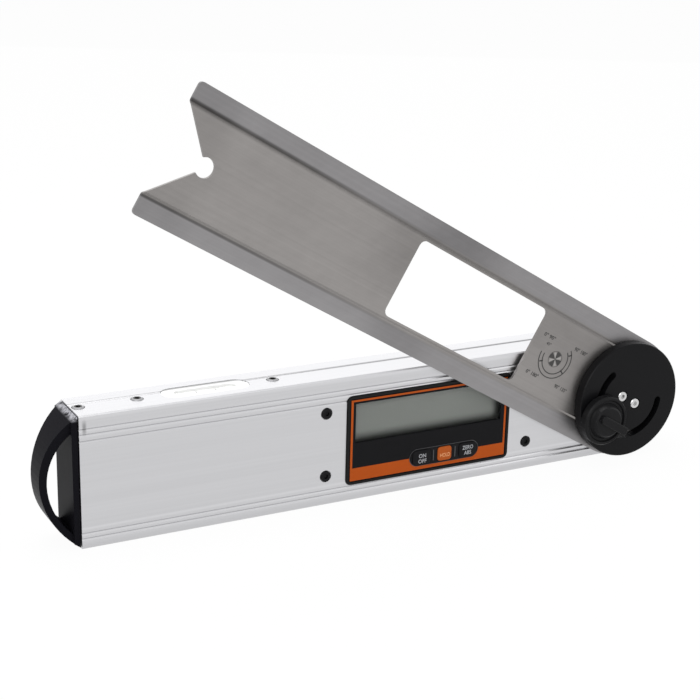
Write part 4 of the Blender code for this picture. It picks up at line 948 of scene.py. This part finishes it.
for number, (along, up) in enumerate(((7.0, -3.8), (-7.3, -4.0), (-7.3, 4.9)), 1):
    shift = on_arm(along * MM, up * MM) - on_arm(0, 0)
    tick_mark(f"dial_tick_{number}", along * MM, up * MM, 2.0 * MM, math.degrees(math.atan2(shift.z, shift.x)))
numbers = (("0_to_90", "0° 90°", 9.2, 8.4, 7.4, 2.0), ("45", "45°", 7.7, 5.0, 3.0, 1.5),
           ("90_to_180", "90° 180°", -11.9, 9.1, 8.4, 2.0), ("0_to_180", "0° 180°", 8.1, -11.1, 8.2, 2.0),
           ("90_to_135", "90° 135°", -11.5, -11.1, 8.2, 2.0))
for name, words, along, up, width, height in numbers:
    place = on_arm(DIAL_ALONG + along * MM, DIAL_UP + up * MM) - Vector((0, INK_THICK / 2, 0))
    lettering("dial_" + name, words, height * MM, width * MM, place, OPENING_DEG, ink, "arm",
              INK_THICK, 0.018)

# %% [markdown]
# The level is a white frame in the top of the body, with a liquid-filled tube below an opening, and two lines
# around the tube that mark level. The frame keeps the outline of the CAD block, so it fills the same slot. Its far
# edge lies in the shade of the slot and is greyer.

# %% The level
vial_low, vial_high = (Vector(corner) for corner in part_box("level_vial"))
vial_middle = (vial_low + vial_high) / 2
TUBE_RADIUS = 3.6 * MM
white_frame, tree, shader = new_finish("white level frame", 0.45)
far_edge = ramp(tree, axes_of(tree, object_vector(tree))[1], vial_high.y - 2.2 * MM, vial_high.y - 0.4 * MM)
shade = value_node(tree, "SUBTRACT", 1.0, value_node(tree, "MULTIPLY", far_edge, 0.45))
tree.links.new(tinted(tree, (0.82, 0.82, 0.82), shade), shader.inputs["Base Color"])
liquid = smooth_finish("pale level liquid", (0.80, 0.81, 0.78), 0.10)
fill = Vector((0.27 * MM, 0.27 * MM, 0))
frame_low, frame_high = vial_low - fill, vial_high + fill
frame_round = (frame_high.y - frame_low.y) / 2 - 0.01 * MM
frame_piece = rounded_block("level_frame", frame_low, frame_high, frame_round, 12, "Z")
slot_low = Vector((vial_low.x + 6.0 * MM, vial_middle.y - 3.0 * MM, vial_high.z - 6.0 * MM))
slot_high = Vector((vial_high.x - 6.0 * MM, vial_middle.y + 3.0 * MM, vial_high.z + 1.0 * MM))
take_away(frame_piece, rounded_block("opening", slot_low, slot_high, 2.9 * MM, 8, "Z"))
soften(frame_piece, 0.3 * MM)
outward(frame_piece)
wear(frame_piece, white_frame, "housing")
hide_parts("level_vial")
paint(white_frame, "level_vial")


def tube(name, radius, length, place, mat, round_end, steps=40):
    """A cylinder along X with rounded ends."""
    bpy.ops.object.select_all(action="DESELECT")
    bpy.ops.mesh.primitive_cylinder_add(vertices=steps, radius=radius, depth=length, location=place,
                                        rotation=(0, math.radians(90), 0))
    piece = bpy.context.object
    piece.name = piece.data.name = name
    settle(piece)
    if round_end:
        soften(piece, round_end, 5, 60)
    return wear(piece, mat, "housing")


tube_place = Vector((vial_middle.x, vial_middle.y, vial_high.z - 0.4 * MM - TUBE_RADIUS))
hollow = 0.1 * MM
bpy.ops.object.select_all(action="DESELECT")
bpy.ops.mesh.primitive_cylinder_add(vertices=40, radius=TUBE_RADIUS + hollow, depth=32.4 * MM, location=tube_place,
                                    rotation=(0, math.radians(90), 0))
bore = bpy.context.object
settle(bore)
take_away(frame_piece, bore)
tube("level_tube", TUBE_RADIUS, 32.0 * MM, tube_place, liquid, 0.8 * MM)
ring_ink = smooth_finish("grey ring ink", (0.45, 0.45, 0.46), 0.4)
for number, side in enumerate((-1, 1), 1):
    ring_place = tube_place + Vector((side * 4.5 * MM, 0, 0))
    tube(f"level_ring_{number}", TUBE_RADIUS + 0.05 * MM, 0.5 * MM, ring_place, ring_ink, 0)
print("level:", [round(1000 * c, 1) for c in vial_middle])
